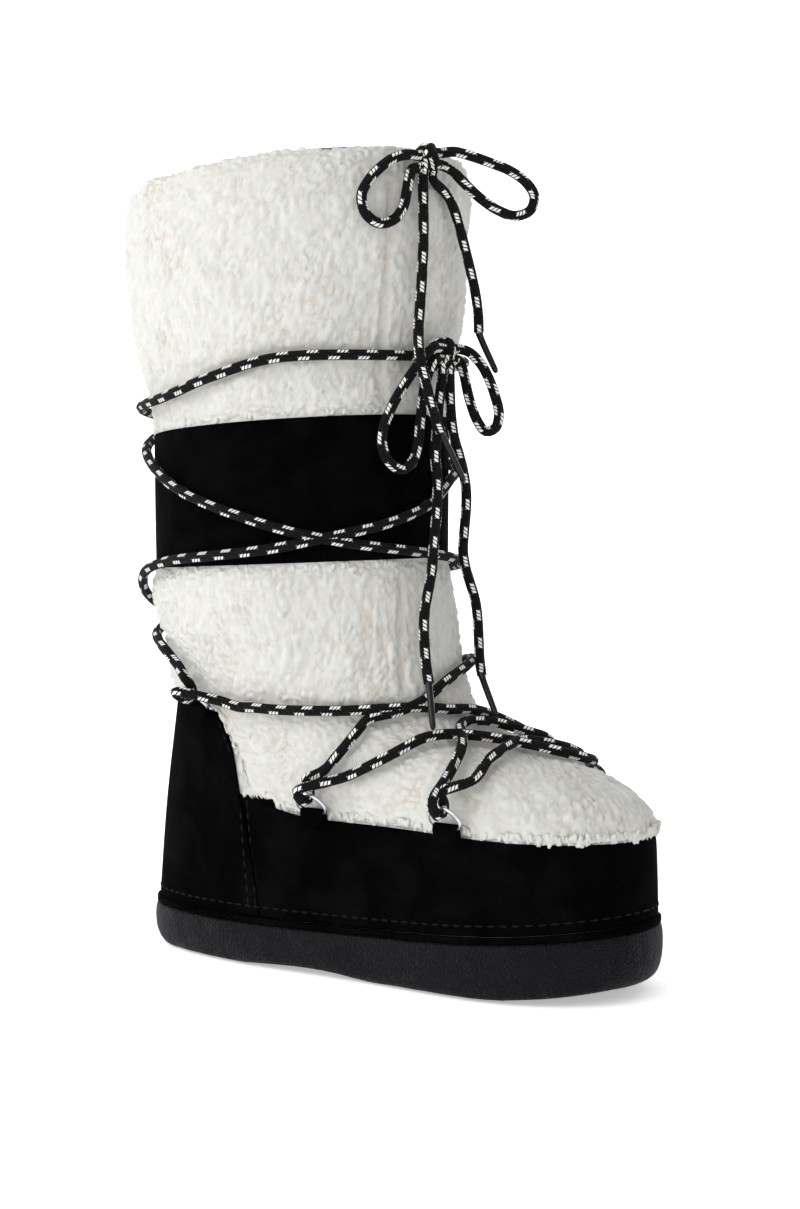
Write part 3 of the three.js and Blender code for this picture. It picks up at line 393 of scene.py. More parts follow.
ON_SUEDE = CLEARANCE + SUEDE + LACE / 2 + LACE_SLACK
ON_PILE = PILE + CURL + LACE / 2 + LACE_SLACK


def laid(angle, height, raised=1.0):
    return wall_offset(row_at_height(angle, height), angle, mix(ON_SUEDE, ON_PILE, raised))


def laid_points(rows):
    full = [row if len(row) == 3 else (*row, 1.0) for row in rows]
    columns = [[row[column] for row in full] for column in range(3)]
    points = [laid(*full[0])]
    for index in range(len(full) - 1):
        count = math.ceil(abs(full[index + 1][0] - full[index][0]) / LAID_STEP)
        for step in range(1, count + 1):
            points.append(laid(*(through(column, index + step / count) for column in columns)))
    return points


def strand_points(start, leave, rows, end, arrive):
    first = thread_points(RING_ANGLES[start])
    last = thread_points(RING_ANGLES[end])
    return ([first["hole"]] + first[leave] + laid_points(rows) + last[arrive][::-1] + [last["hole"]])


FOOT_ROUTES = [strand_points(*strand) for strand in STRANDS]


def wrap_points(ring, rows):
    turn = thread_points(RING_ANGLES[ring])
    return [turn["hole"]] + turn["inside"] + laid_points(rows)


SHAFT_ROUTES = [wrap_points(*wrap) for wrap in WRAPS]


def smooth_path(points, step):
    """A smooth curve through the points, as points a step apart: centripetal, so it never loops on itself."""
    points = [Vector(point) for point in points]
    ends = [points[0] * 2 - points[1], *points, points[-1] * 2 - points[-2]]
    path = []
    for p0, p1, p2, p3 in zip(ends, ends[1:], ends[2:], ends[3:]):
        t1 = max(1e-9, (p1 - p0).length ** 0.5)
        t2 = t1 + max(1e-9, (p2 - p1).length ** 0.5)
        t3 = t2 + max(1e-9, (p3 - p2).length ** 0.5)
        count = max(1, round((p2 - p1).length / step))
        for index in range(count):
            t = mix(t1, t2, index / count)
            a1 = p0 * ((t1 - t) / t1) + p1 * (t / t1)
            a2 = p1 * ((t2 - t) / (t2 - t1)) + p2 * ((t - t1) / (t2 - t1))
            a3 = p2 * ((t3 - t) / (t3 - t2)) + p3 * ((t - t2) / (t3 - t2))
            b1 = a1 * ((t2 - t) / t2) + a2 * (t / t2)
            b2 = a2 * ((t3 - t) / (t3 - t1)) + a3 * ((t - t1) / (t3 - t1))
            path.append(b1 * ((t2 - t) / (t2 - t1)) + b2 * ((t - t1) / (t2 - t1)))
    path.append(points[-1])
    return path


# Objects and meshes
def new_object(name, mesh, material, smooth=True):
    piece = bpy.data.objects.new(name, mesh)
    bpy.context.scene.collection.objects.link(piece)
    if material:
        mesh.materials.clear()
        mesh.materials.append(material)
    if smooth:
        mesh.shade_smooth()
    return piece


def finish_piece(piece, nodes=()):
    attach(piece, "root")
    if nodes:
        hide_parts(*nodes)
    return piece


def mesh_from(build, name):
    mesh = bpy.data.meshes.new(name)
    build.to_mesh(mesh)
    build.free()
    return mesh


def evaluated_mesh(piece, name):
    """The piece's mesh with its modifiers applied, as a new mesh."""
    graph = bpy.context.evaluated_depsgraph_get()
    mesh = bpy.data.meshes.new_from_object(piece.evaluated_get(graph), depsgraph=graph)
    mesh.name = name
    return mesh


def drop(piece):
    bpy.data.objects.remove(piece, do_unlink=True)


def merged_copy(node, quads=True):
    """A bmesh of a solid with its doubles merged and its flat triangle pairs joined."""
    build = bmesh.new()
    build.from_mesh(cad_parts[node].data)
    bmesh.ops.remove_doubles(build, verts=build.verts, dist=1e-6)
    if quads:
        bmesh.ops.join_triangles(build, faces=build.faces, angle_face_threshold=math.radians(40),
                                 angle_shape_threshold=math.radians(60))
    return build


def refined(name, node, material, levels, sharp=50, crease=1.0, swell=0.0):
    """A finer copy of a solid: smooth all over but for a crease along its sharp edges."""
    build = merged_copy(node)
    build.normal_update()
    layer = build.edges.layers.float.get("crease_edge") or build.edges.layers.float.new("crease_edge")
    for edge in build.edges:
        if len(edge.link_faces) == 2 and edge.calc_face_angle() > math.radians(sharp):
            edge[layer] = crease
    if swell:
        for vert in build.verts:
            vert.co += vert.normal * swell
    piece = new_object(name, mesh_from(build, name), material)
    subdivision = piece.modifiers.new("Subdivision", "SUBSURF")
    subdivision.levels = subdivision.render_levels = levels
    mesh = evaluated_mesh(piece, name)
    piece.modifiers.clear()
    piece.data = mesh
    mesh.shade_smooth()
    return piece


def tree_of(*pieces):
    """A tree to cast rays at, of the pieces' meshes together."""
    build = bmesh.new()
    for piece in pieces:
        build.from_mesh(piece.data)
    tree = BVHTree.FromBMesh(build)
    build.free()
    return tree


# Cords
def ring_of(build, middle, side, other, radius, count):
    """A ring of vertices round a point."""
    turns = [2 * math.pi * index / count for index in range(count)]
    return [build.verts.new(middle + (side * math.cos(turn) + other * math.sin(turn)) * radius) for turn in turns]


def skin(build, rings):
    """Joins rings of vertices to a closed tube, and gives its rows of faces."""
    rows = []
    for before, after in zip(rings, rings[1:]):
        count = len(before)
        rows.append([build.faces.new((before[index], before[(index + 1) % count], after[(index + 1) % count],
                                      after[index])) for index in range(count)])
    build.faces.new(rings[0][::-1])
    build.faces.new(rings[-1])
    return rows


def add_cord(build, route, diameter, sides=12, step=0.0016):
    """A round cord along a route in metres, with a UV map in metres along and shares round."""
    uv = build.loops.layers.uv.get("cord") or build.loops.layers.uv.new("cord")
    path = smooth_path(route, step)
    side = Vector((0, 0, 1)) if abs((path[1] - path[0]).normalized().z) < 0.9 else Vector((0, 1, 0))
    rings = []
    for index, point in enumerate(path):
        along = (path[min(len(path) - 1, index + 1)] - path[max(0, index - 1)]).normalized()
        side = (side - along * side.dot(along)).normalized()
        level = Vector((0, 0, 1)) - along * along.z
        if level.length > 0.5:
            side = side.lerp(level.normalized(), 0.1).normalized()
        rings.append(ring_of(build, point, side, along.cross(side), diameter / 2, sides))
    travelled = 0.0
    for index, row in enumerate(skin(build, rings)):
        length = (path[index + 1] - path[index]).length
        for corner, face in enumerate(row):
            places = ((0, 0), (0, 1), (length, 1), (length, 0))
            for loop, (far, turn) in zip(face.loops, places):
                loop[uv].uv = (travelled + far, (corner + turn) / sides)
        travelled += length
    return path


def cord_mesh(name, routes, diameter, sides=12, step=0.0016):
    """Round cords along the routes, as one mesh."""
    build = bmesh.new()
    for route in routes:
        add_cord(build, route, diameter, sides, step)
    return mesh_from(build, name)


# Materials
def group(name, inputs, outputs):
    tree = bpy.data.node_groups.new(name, "ShaderNodeTree")
    for label, kind, value in inputs:
        socket = tree.interface.new_socket(name=label, in_out="INPUT", socket_type=kind)
        if value is not None:
            socket.default_value = value
    for label, kind in outputs:
        tree.interface.new_socket(name=label, in_out="OUTPUT", socket_type=kind)
    return tree, tree.nodes.new("NodeGroupInput"), tree.nodes.new("NodeGroupOutput")


def add(tree, kind, links=(), **settings):
    node = tree.nodes.new(kind)
    for key, value in settings.items():
        setattr(node, key, value)
    for socket, value in dict(links).items():
        target = node.inputs[socket]
        if isinstance(value, bpy.types.NodeSocket):
            tree.links.new(value, target)
        else:
            target.default_value = value
    return node


def math_node(tree, operation, *values, clamp=False):
    return add(tree, "ShaderNodeMath", enumerate(values), operation=operation, use_clamp=clamp).outputs[0]


def ranged(tree, value, low, high, to_low, to_high, smooth=True):
    node = add(tree, "ShaderNodeMapRange", {0: value, 1: low, 2: high, 3: to_low, 4: to_high},
               interpolation_type="SMOOTHSTEP" if smooth else "LINEAR")
    return node.outputs[0]


def blended(tree, factor, first, second, kind="MIX"):
    node = add(tree, "ShaderNodeMix", data_type="RGBA", blend_type=kind)
    for socket, value in ((0, factor), (6, first), (7, second)):
        if isinstance(value, bpy.types.NodeSocket):
            tree.links.new(value, node.inputs[socket])
        else:
            node.inputs[socket].default_value = value
    return node.outputs[2]


def grain_group():
    """Even fine grain, as of nap or cast rubber: a height, and a slow change over the surface."""
    tree, start, end = group("grain", [
        ("Vector", "NodeSocketVector", None), ("Fine", "NodeSocketFloat", 900.0),
        ("Slow", "NodeSocketFloat", 60.0),
    ], [("Height", "NodeSocketFloat"), ("Slow", "NodeSocketFloat")])
    fine = add(tree, "ShaderNodeTexNoise", {"Vector": start.outputs["Vector"], "Scale": start.outputs["Fine"],
                                            "Detail": 3.0, "Roughness": 0.65})
    slow = add(tree, "ShaderNodeTexNoise", {"Vector": start.outputs["Vector"], "Scale": start.outputs["Slow"],
                                            "Detail": 4.0, "Roughness": 0.55, "Distortion": 0.6})
    tree.links.new(fine.outputs["Fac"], end.inputs["Height"])
    tree.links.new(slow.outputs["Fac"], end.inputs["Slow"])
    return tree


def wool_group():
    """Wool: clumps, fibres drawn down the pile, and the hollows between the curls, where the shearling's tan goes,
    partly as painted shade.
    """
    tree, start, end = group("wool", [("Vector", "NodeSocketVector", None)],
                             [("Height", "NodeSocketFloat"), ("Valley", "NodeSocketFloat"),
                              ("Tone", "NodeSocketFloat")])
    drawn = add(tree, "ShaderNodeMapping", {"Vector": start.outputs["Vector"], "Scale": (1.0, 1.0, 0.35)})
    fibre = add(tree, "ShaderNodeTexNoise", {"Vector": drawn.outputs[0], "Scale": 1500.0, "Detail": 3.0,
                                             "Roughness": 0.7, "Distortion": 0.8})
    clump = add(tree, "ShaderNodeTexNoise", {"Vector": drawn.outputs[0], "Scale": 230.0, "Detail": 2.0,
                                             "Distortion": 1.4})
    patch = add(tree, "ShaderNodeTexNoise", {"Vector": start.outputs["Vector"], "Scale": 45.0, "Detail": 3.0})
    height = math_node(tree, "MULTIPLY_ADD", clump.outputs["Fac"], 1.5, fibre.outputs["Fac"])
    tree.links.new(height, end.inputs["Height"])
    tree.links.new(ranged(tree, clump.outputs["Fac"], 0.35, 0.55, 1.0, 0.0), end.inputs["Valley"])
    tree.links.new(patch.outputs["Fac"], end.inputs["Tone"])
    return tree


def fleck_group():
    """A braided cord's pattern on its UV map: white flecks of three stitches in staggered rows, and its weave."""
    tree, start, end = group("flecks", [
        ("UV", "NodeSocketVector", None), ("Pitch", "NodeSocketFloat", 0.0145),
        ("Length", "NodeSocketFloat", 0.0056), ("Stagger", "NodeSocketFloat", 0.3),
    ], [("White", "NodeSocketFloat"), ("Height", "NodeSocketFloat")])
    parts = add(tree, "ShaderNodeSeparateXYZ", {0: start.outputs["UV"]})
    along, around = parts.outputs[0], parts.outputs[1]
    rows = math_node(tree, "MULTIPLY", around, 4.0)
    row = math_node(tree, "FLOOR", rows)
    across = math_node(tree, "SUBTRACT", math_node(tree, "FRACT", rows), 0.5)
    odd = math_node(tree, "MODULO", row, 2.0)
    shifted = math_node(tree, "ADD", math_node(tree, "DIVIDE", along, start.outputs["Pitch"]),
                        math_node(tree, "MULTIPLY", odd, start.outputs["Stagger"]))
    local = math_node(tree, "MULTIPLY", math_node(tree, "FRACT", shifted), start.outputs["Pitch"])
    share = math_node(tree, "DIVIDE", local, start.outputs["Length"])
    inside = math_node(tree, "LESS_THAN", share, 1.0)
    tooth = math_node(tree, "FRACT", math_node(tree, "ADD", math_node(tree, "MULTIPLY", share, 3.0),
                                               math_node(tree, "MULTIPLY", across, 0.9)))
    stitch = math_node(tree, "LESS_THAN", math_node(tree, "ABSOLUTE", math_node(tree, "SUBTRACT", tooth, 0.5)),
                       0.36)
    lean = math_node(tree, "MULTIPLY", math_node(tree, "SUBTRACT", tooth, 0.5), 0.18)
    middle = math_node(tree, "ABSOLUTE", math_node(tree, "ADD", across, lean))
    band = math_node(tree, "LESS_THAN", middle, 0.26)
    white = math_node(tree, "MULTIPLY", math_node(tree, "MULTIPLY", inside, stitch), band)
    braid = math_node(tree, "MULTIPLY", math_node(tree, "SINE", math_node(tree, "MULTIPLY_ADD", along, 3600.0,
                      math_node(tree, "MULTIPLY", around, 37.7))),
                      math_node(tree, "SINE", math_node(tree, "MULTIPLY_ADD", along, 3600.0,
                      math_node(tree, "MULTIPLY", around, -37.7))))
    height = math_node(tree, "MULTIPLY_ADD", white, 0.8, braid)
    tree.links.new(white, end.inputs["White"])
    tree.links.new(height, end.inputs["Height"])
    return tree


GROUPS = {}


def shared(name):
    if name not in GROUPS:
        GROUPS[name] = {"grain": grain_group, "wool": wool_group, "flecks": fleck_group}[name]()
    return GROUPS[name]


def new_material(name):
    material = bpy.data.materials.new(name)
    material.use_nodes = True
    tree = material.node_tree
    return material, tree, tree.nodes["Principled BSDF"]


def place(tree, name, links):
    node = add(tree, "ShaderNodeGroup", node_tree=shared(name))
    for socket, value in links.items():
        if isinstance(value, bpy.types.NodeSocket):
            tree.links.new(value, node.inputs[socket])
        else:
            node.inputs[socket].default_value = value
    return node


def bump(tree, shader, height, distance, strength=1.0):
    node = add(tree, "ShaderNodeBump", {"Strength": strength, "Distance": distance, "Height": height})
    tree.links.new(node.outputs[0], shader.inputs["Normal"])


def set_shader(shader, **values):
    names = {"roughness": "Roughness", "metallic": "Metallic", "sheen": "Sheen Weight", "sheen_tint": "Sheen Tint",
             "sheen_roughness": "Sheen Roughness", "coat": "Coat Weight", "coat_roughness": "Coat Roughness",
             "specular": "Specular IOR Level", "scatter": "Subsurface Weight", "scatter_scale": "Subsurface Scale",
             "color": "Base Color"}
    for key, value in values.items():
        shader.inputs[names[key]].default_value = value


def shearling_material(name, white, tan):
    material, tree, shader = new_material(name)
    where = add(tree, "ShaderNodeTexCoord").outputs["Object"]
    wool = place(tree, "wool", {"Vector": where})
    valley = add(tree, "ShaderNodeAttribute", attribute_name="valley").outputs["Fac"]
    patch = ranged(tree, wool.outputs["Tone"], 0.48, 0.72, 0.0, 1.0)
    # On the shearling the colour turns tan in the hollows between the curls and in the seams' grooves: painted shade
    # in every hollow, with the wool's own tan where the patches lie.
    patchy_tan_and_shade = math_node(tree, "MULTIPLY", wool.outputs["Valley"], patch)
    hollow_tan_and_shade = math_node(tree, "MULTIPLY", ranged(tree, valley, 0.45, 1.0, 0.0, 1.0),
                     math_node(tree, "MULTIPLY_ADD", patch, 0.5, 0.2))
    tan_and_shade_amount = math_node(tree, "ADD", hollow_tan_and_shade, math_node(tree, "MULTIPLY", patchy_tan_and_shade, 0.22), clamp=True)
    tree.links.new(blended(tree, tan_and_shade_amount, white, tan), shader.inputs["Base Color"])
    set_shader(shader, roughness=0.95, sheen=0.25, sheen_roughness=0.6, specular=0.1)
    bump(tree, shader, wool.outputs["Height"], 0.0004, 0.55)
    return material


def suede_material(black, worn):
    material, tree, shader = new_material("suede")
    where = add(tree, "ShaderNodeTexCoord").outputs["Object"]
    grain = place(tree, "grain", {"Vector": where, "Fine": 1900.0, "Slow": 38.0})
    nap = ranged(tree, grain.outputs["Slow"], 0.35, 0.7, 0.0, 1.0)
    color = blended(tree, nap, black, worn)
    fleck = ranged(tree, grain.outputs["Height"], 0.5, 0.75, 0.0, 0.35)
    tree.links.new(blended(tree, fleck, color, worn), shader.inputs["Base Color"])
    tree.links.new(ranged(tree, grain.outputs["Slow"], 0.3, 0.7, 0.98, 0.86), shader.inputs["Roughness"])
    set_shader(shader, sheen=0.0015, sheen_roughness=0.4, specular=0.012, sheen_tint=(0.7, 0.72, 0.8, 1))
    bump(tree, shader, grain.outputs["Height"], 0.00022, 0.6)
    return material


def rubber_material(dark, pebble_tops_painted_light):
    material, tree, shader = new_material("rubber")
    where = add(tree, "ShaderNodeTexCoord").outputs["Object"]
    grain = place(tree, "grain", {"Vector": where, "Fine": 1300.0, "Slow": 70.0})
    pebble = add(tree, "ShaderNodeTexVoronoi", {"Vector": where, "Scale": 620.0, "Randomness": 0.9})
    dome = ranged(tree, pebble.outputs["Distance"], 0.05, 0.6, 1.0, 0.0)
    height = math_node(tree, "MULTIPLY_ADD", grain.outputs["Height"], 0.5, dome)
    # Painted light and shade of the grain: the pebbles' tops are coloured lighter than the hollows between them.
    tree.links.new(blended(tree, ranged(tree, dome, 0.2, 0.9, 0.0, 1.0), dark, pebble_tops_painted_light), shader.inputs["Base Color"])
    tree.links.new(ranged(tree, grain.outputs["Slow"], 0.3, 0.7, 0.5, 0.68), shader.inputs["Roughness"])
    set_shader(shader, specular=0.1)
    bump(tree, shader, height, 0.0006, 0.9)
    return material


def steel_material():
    material, tree, shader = new_material("steel")
    where = add(tree, "ShaderNodeTexCoord").outputs["Object"]
    grain = place(tree, "grain", {"Vector": where, "Fine": 2500.0, "Slow": 160.0})
    tone = blended(tree, grain.outputs["Slow"], (0.42, 0.42, 0.43, 1), (0.78, 0.78, 0.79, 1))
    tree.links.new(tone, shader.inputs["Base Color"])
    tree.links.new(ranged(tree, grain.outputs["Slow"], 0.3, 0.7, 0.16, 0.34), shader.inputs["Roughness"])
    set_shader(shader, metallic=1.0)
    bump(tree, shader, grain.outputs["Height"], 0.00005, 0.3)
    return material


def lace_material(black, white):
    material, tree, shader = new_material("lace")
    where = add(tree, "ShaderNodeUVMap", uv_map="cord").outputs[0]
    flecks = place(tree, "flecks", {"UV": where})
    tree.links.new(blended(tree, flecks.outputs["White"], black, white), shader.inputs["Base Color"])
    set_shader(shader, roughness=0.8, sheen=0.012, specular=0.1)
    bump(tree, shader, flecks.outputs["Height"], 0.00025, 0.8)
    return material


def aglet_material():
    material, tree, shader = new_material("aglet")
    where = add(tree, "ShaderNodeTexCoord").outputs["Object"]
    grain = place(tree, "grain", {"Vector": where, "Fine": 900.0, "Slow": 220.0})
    tree.links.new(ranged(tree, grain.outputs["Slow"], 0.3, 0.7, 0.12, 0.24), shader.inputs["Roughness"])
    set_shader(shader, color=(0.004, 0.004, 0.005, 1), specular=0.2, coat=0.12, coat_roughness=0.08)
    bump(tree, shader, grain.outputs["Slow"], 0.0003, 0.35)
    return material


def thread_material():
    material, tree, shader = new_material("thread")
    where = add(tree, "ShaderNodeTexCoord").outputs["Object"]
    grain = place(tree, "grain", {"Vector": where, "Fine": 3000.0, "Slow": 400.0})
    tone = blended(tree, grain.outputs["Height"], (0.0016, 0.0016, 0.0018, 1), (0.0075, 0.0075, 0.0085, 1))
    tree.links.new(tone, shader.inputs["Base Color"])
    set_shader(shader, roughness=0.75, sheen=0.005, specular=0.08)
    bump(tree, shader, grain.outputs["Height"], 0.0001, 0.6)
    return material


MATERIALS = {}


def finish_of(name):
    """A finish by name, made once with the colours that the panel holds."""
    if name in MATERIALS:
        return MATERIALS[name]
    colours = bpy.context.scene.boot_colours
    wool, tan = (*colours.wool, 1), (*colours.wool_shade, 1)
    makers = {
        "shearling": lambda: shearling_material("shearling", wool, tan),
        "footbed": lambda: shearling_material("footbed", tan, (*colours.skin, 1)),
        "suede": lambda: suede_material((*colours.suede, 1), (*colours.suede_nap, 1)),
        "rubber": lambda: rubber_material((*colours.rubber, 1), (*colours.rubber_painted_pebble_light, 1)),
        "steel": steel_material,
        "lace": lambda: lace_material((*colours.lace, 1), (*colours.fleck, 1)),
        "aglet": aglet_material,
        "thread": thread_material,
    }
    MATERIALS[name] = makers[name]()
    return MATERIALS[name]


# Pile
def curled(place, size):
    """Height and depth of the curls at a place, in shares: lumps of wool that run down the boot."""
    wander = noise.noise_vector(place * (0.3 / size)) * (1.35 * size)
    drawn = place + wander
    drawn.z *= 0.66
    near = noise.voronoi(drawn / size)[0]
    lump = ease((near[1] - near[0]) / 0.45)
    broad = noise.noise(place * (0.2 / size))
    tuft = noise.noise(place * (1.3 / size))
    return 0.6 * lump + 0.62 * broad + 0.28 * tuft, 1 - lump


def seam_places():
    """Angles and heights along the seams, a step of a millimetre apart, on both sides."""
    for low, start, high, end in SEAMS:
        for height in range(low, high + 1):
            angle = mix(start, end, (height - low) / (high - low))
            yield angle, height
            yield 360 - angle, height


def sides_of_wall():
    """The lines that run through the foot and the shaft, to tell the outside of the upper from its lining."""
    return ((placed((-110, 0, 55)), placed((110, 0, 50))),
            (placed((SHAFT_CENTRE_X, 0, 90)), placed((SHAFT_CENTRE_X, 0, 420))))


def is_lining(point, out, lines):
    near = []
    for start, end in lines:
        line = end - start
        share = min(1, max(0, (point - start).dot(line) / line.length_squared))
        near.append(start + line * share)
    away = point - min(near, key=lambda place: (place - point).length)
    return out.dot(away) < -0.25 * away.length


def find_tree(points):
    tree = KDTree(len(points))
    for index, point in enumerate(points):
        tree.insert(point, index)
    tree.balance()
    return tree


def part_of(piece, chosen, name, material):
    """The chosen faces of a piece, copied as a piece of its own; without leaves them out of the first."""
    build = bmesh.new()
    build.from_mesh(piece.data)
    build.faces.ensure_lookup_table()
    other = [face for face in build.faces if face.index not in chosen]
    bmesh.ops.delete(build, geom=other, context="FACES")
    return new_object(name, mesh_from(build, name), material)


def without(piece, chosen):
    build = bmesh.new()
    build.from_mesh(piece.data)
    bmesh.ops.delete(build, geom=[face for face in build.faces if face.index in chosen], context="FACES")
    build.to_mesh(piece.data)
    build.free()
    piece.data.shade_smooth()


def blacken_joint(piece):
    """The ground under the joint of the heel piece and the foot's suede is black, as its allowance is."""
    piece.data.materials.append(finish_of("suede"))
    for face in piece.data.polygons:
        if abs(face.center.x + JOINT_X * MM) < JOINT_REACH * MM and face.center.z < (JOINT_PANEL - 0.5) * MM:
            face.material_index = 1


def finer(piece, levels):
    subdivision = piece.modifiers.new("Subdivision", "SUBSURF")
    subdivision.levels = subdivision.render_levels = levels
    mesh = evaluated_mesh(piece, piece.name)
    piece.modifiers.clear()
    piece.data = mesh
    mesh.shade_smooth()


# What the panel holds
class BootColours(bpy.types.PropertyGroup):
    wool: FloatVectorProperty(name="Wool", description="Tips of the shearling's curls", subtype="COLOR",
                              min=0, max=1, default=(0.56, 0.56, 0.535))
    # On the shearling this tan fills the hollows between the curls and the seams' grooves, partly as painted shade;
    # it is also the footbed's own colour.
    wool_shade: FloatVectorProperty(name="Wool shade", description="Cream curls and the depth of the pile",
                                    subtype="COLOR", min=0, max=1, default=(0.45, 0.385, 0.31))
    skin: FloatVectorProperty(name="Skin", description="The skin that shows between the curls",
                              subtype="COLOR", min=0, max=1, default=(0.5, 0.41, 0.31))
    suede: FloatVectorProperty(name="Suede", description="Black nap of the suede", subtype="COLOR",
                               min=0, max=1, default=(0.0008, 0.0008, 0.0009))
    suede_nap: FloatVectorProperty(name="Suede brushed", description="Nap of the suede where it is brushed up",
                                   subtype="COLOR", min=0, max=1, default=(0.0021, 0.0021, 0.0023))
    rubber: FloatVectorProperty(name="Rubber", description="Rubber of the sole", subtype="COLOR",
                                min=0, max=1, default=(0.0022, 0.0024, 0.0038))
    # Painted light: the colour of the pebble grain's tops, lighter than its hollows.
    rubber_painted_pebble_light: FloatVectorProperty(name="Rubber grain", description="Tops of the sole's pebble grain",
                                       subtype="COLOR", min=0, max=1, default=(0.0052, 0.0058, 0.0092))
    lace: FloatVectorProperty(name="Lace", description="Black braid of the lace", subtype="COLOR",
                              min=0, max=1, default=(0.0035, 0.0035, 0.004))
    fleck: FloatVectorProperty(name="Fleck", description="White flecks of the lace", subtype="COLOR",
                               min=0, max=1, default=(0.8, 0.79, 0.76))


class BootSizes(bpy.types.PropertyGroup):
    curl: FloatProperty(name="Curl", description="Width of a curl of wool", unit="LENGTH", default=0.0032)
    relief: FloatProperty(name="Relief", description="How far the curls stand up", unit="LENGTH",
                          default=0.0024)
    sink: FloatProperty(name="Sink", description="How far the pile's ground lies under its curls",
                        unit="LENGTH", default=0.0009)
    lining_depth: FloatProperty(name="Lining depth", description="How far down the inside the curls stand up",
                                unit="LENGTH", default=0.11)
    lining_relief: FloatProperty(name="Lining relief", description="How far the curls inside stand up",
                                 unit="LENGTH", default=0.0024)
    toe_pile: FloatProperty(name="Toe pile", description="How much longer the pile is at the toe",
                            unit="LENGTH", default=0.0016)
    press: FloatProperty(name="Press", description="How far the laces press the pile down",
                         unit="LENGTH", default=0.0022)
    stitch_length: FloatProperty(name="Stitch", description="Length of a stitch", unit="LENGTH",
                                 default=0.0042)
    stitch_pitch: FloatProperty(name="Stitch pitch", description="Length from one stitch to the next",
                                unit="LENGTH", default=0.0062)
    aglet: FloatProperty(name="Aglet", description="Diameter of the lace's tips", unit="LENGTH",
                         default=0.0035)
    ring_swell: FloatProperty(name="Ring swell", description="Makes up for the smoothing of the rings",
                              unit="LENGTH", default=0.00014)
    camera_lens: FloatProperty(name="Lens", description="Focal length in millimetres", default=65.5)
    key: FloatProperty(name="Key light", description="Power of the soft lamp on the left", default=8.0)
    sky: FloatProperty(name="Sky", description="Brightness of the white surroundings", default=0.56)


class BOOT_OT_camera(bpy.types.Operator):
    """The camera, where the picture was taken from"""
    bl_idname = "boot.camera"
    bl_label = "Camera"

    def execute(self, context):
        camera = bpy.data.objects.new("camera", bpy.data.cameras.new("camera"))
        context.scene.collection.objects.link(camera)
        camera.location = Vector((0.631, -0.93, 0.241)) + SHIFT
        camera.rotation_euler = (math.radians(90 - 2.85), 0, math.radians(34))
        camera.data.lens = context.scene.boot_sizes.camera_lens
        camera.data.sensor_width = 36
        camera.data.clip_start, camera.data.clip_end = 0.05, 50
        context.scene.camera = camera
        return {"FINISHED"}


class BOOT_OT_aglets(bpy.types.Operator):
    """The four moulded tips of the lace ends"""
    bl_idname = "boot.aglets"
    bl_label = "Aglets"

    def execute(self, context):
        radius = context.scene.boot_sizes.aglet / 2
        profile = ((0, 1.25), (0.02, 1.3), (0.09, 1.12), (0.2, 1), (0.6, 0.97), (0.9, 0.88), (0.97, 0.76), (1, 0.45))
        for node, (start, end) in AGLETS.items():
            cord = CORD_POINTS[node.replace("_aglet_", "_end_")]
            route = [in_place(cord[-2]).lerp(in_place(cord[-1]), 0.8), in_place(start), in_place(end)]
            path = smooth_path(route, 0.0012)
            side = (path[-1] - path[0]).orthogonal().normalized()
            build = bmesh.new()
            rings = []
            for index, point in enumerate(path):
                along = (path[min(len(path) - 1, index + 1)] - path[max(0, index - 1)]).normalized()
                side = (side - along * side.dot(along)).normalized()
                far = index / (len(path) - 1)
                place = next(row for row in range(1, len(profile)) if far <= profile[row][0] + 1e-6)
                (before, thin), (after, thick) = profile[place - 1], profile[place]
                rings.append(ring_of(build, point, side, along.cross(side),
                                     radius * mix(thin, thick, (far - before) / (after - before)), 16))
            skin(build, rings)
            name = node + "_moulded"
            finish_piece(new_object(name, mesh_from(build, name), finish_of("aglet")), [node])
        return {"FINISHED"}


class BOOT_OT_bow_cords(bpy.types.Operator):
    """The loops and ends of both bows, each a free cord from its knot"""
    bl_idname = "boot.bow_cords"
    bl_label = "Loops and ends"

    def execute(self, context):
        for node, points in CORD_POINTS.items():
            build = bmesh.new()
            path = add_cord(build, [in_place(point) for point in points], LACE * MM)
            name = node + "_braid"
            piece = new_object(name, mesh_from(build, name), finish_of("lace"))
            finish_piece(piece, [node])
        return {"FINISHED"}


class BOOT_OT_laid_laces(bpy.types.Operator):
    """The lengths of lace that cross the foot, and those wound round the shaft"""
    bl_idname = "boot.laid_laces"
    bl_label = "Laid laces"

    def execute(self, context):
        for node, routes in (("lace_foot", FOOT_ROUTES), ("lace_shaft", SHAFT_ROUTES)):
            name = node + "_braid"
            mesh = cord_mesh(name, [[placed(point) for point in route] for route in routes], LACE * MM, step=0.002)
            finish_piece(new_object(name, mesh, finish_of("lace")), [node])
        return {"FINISHED"}


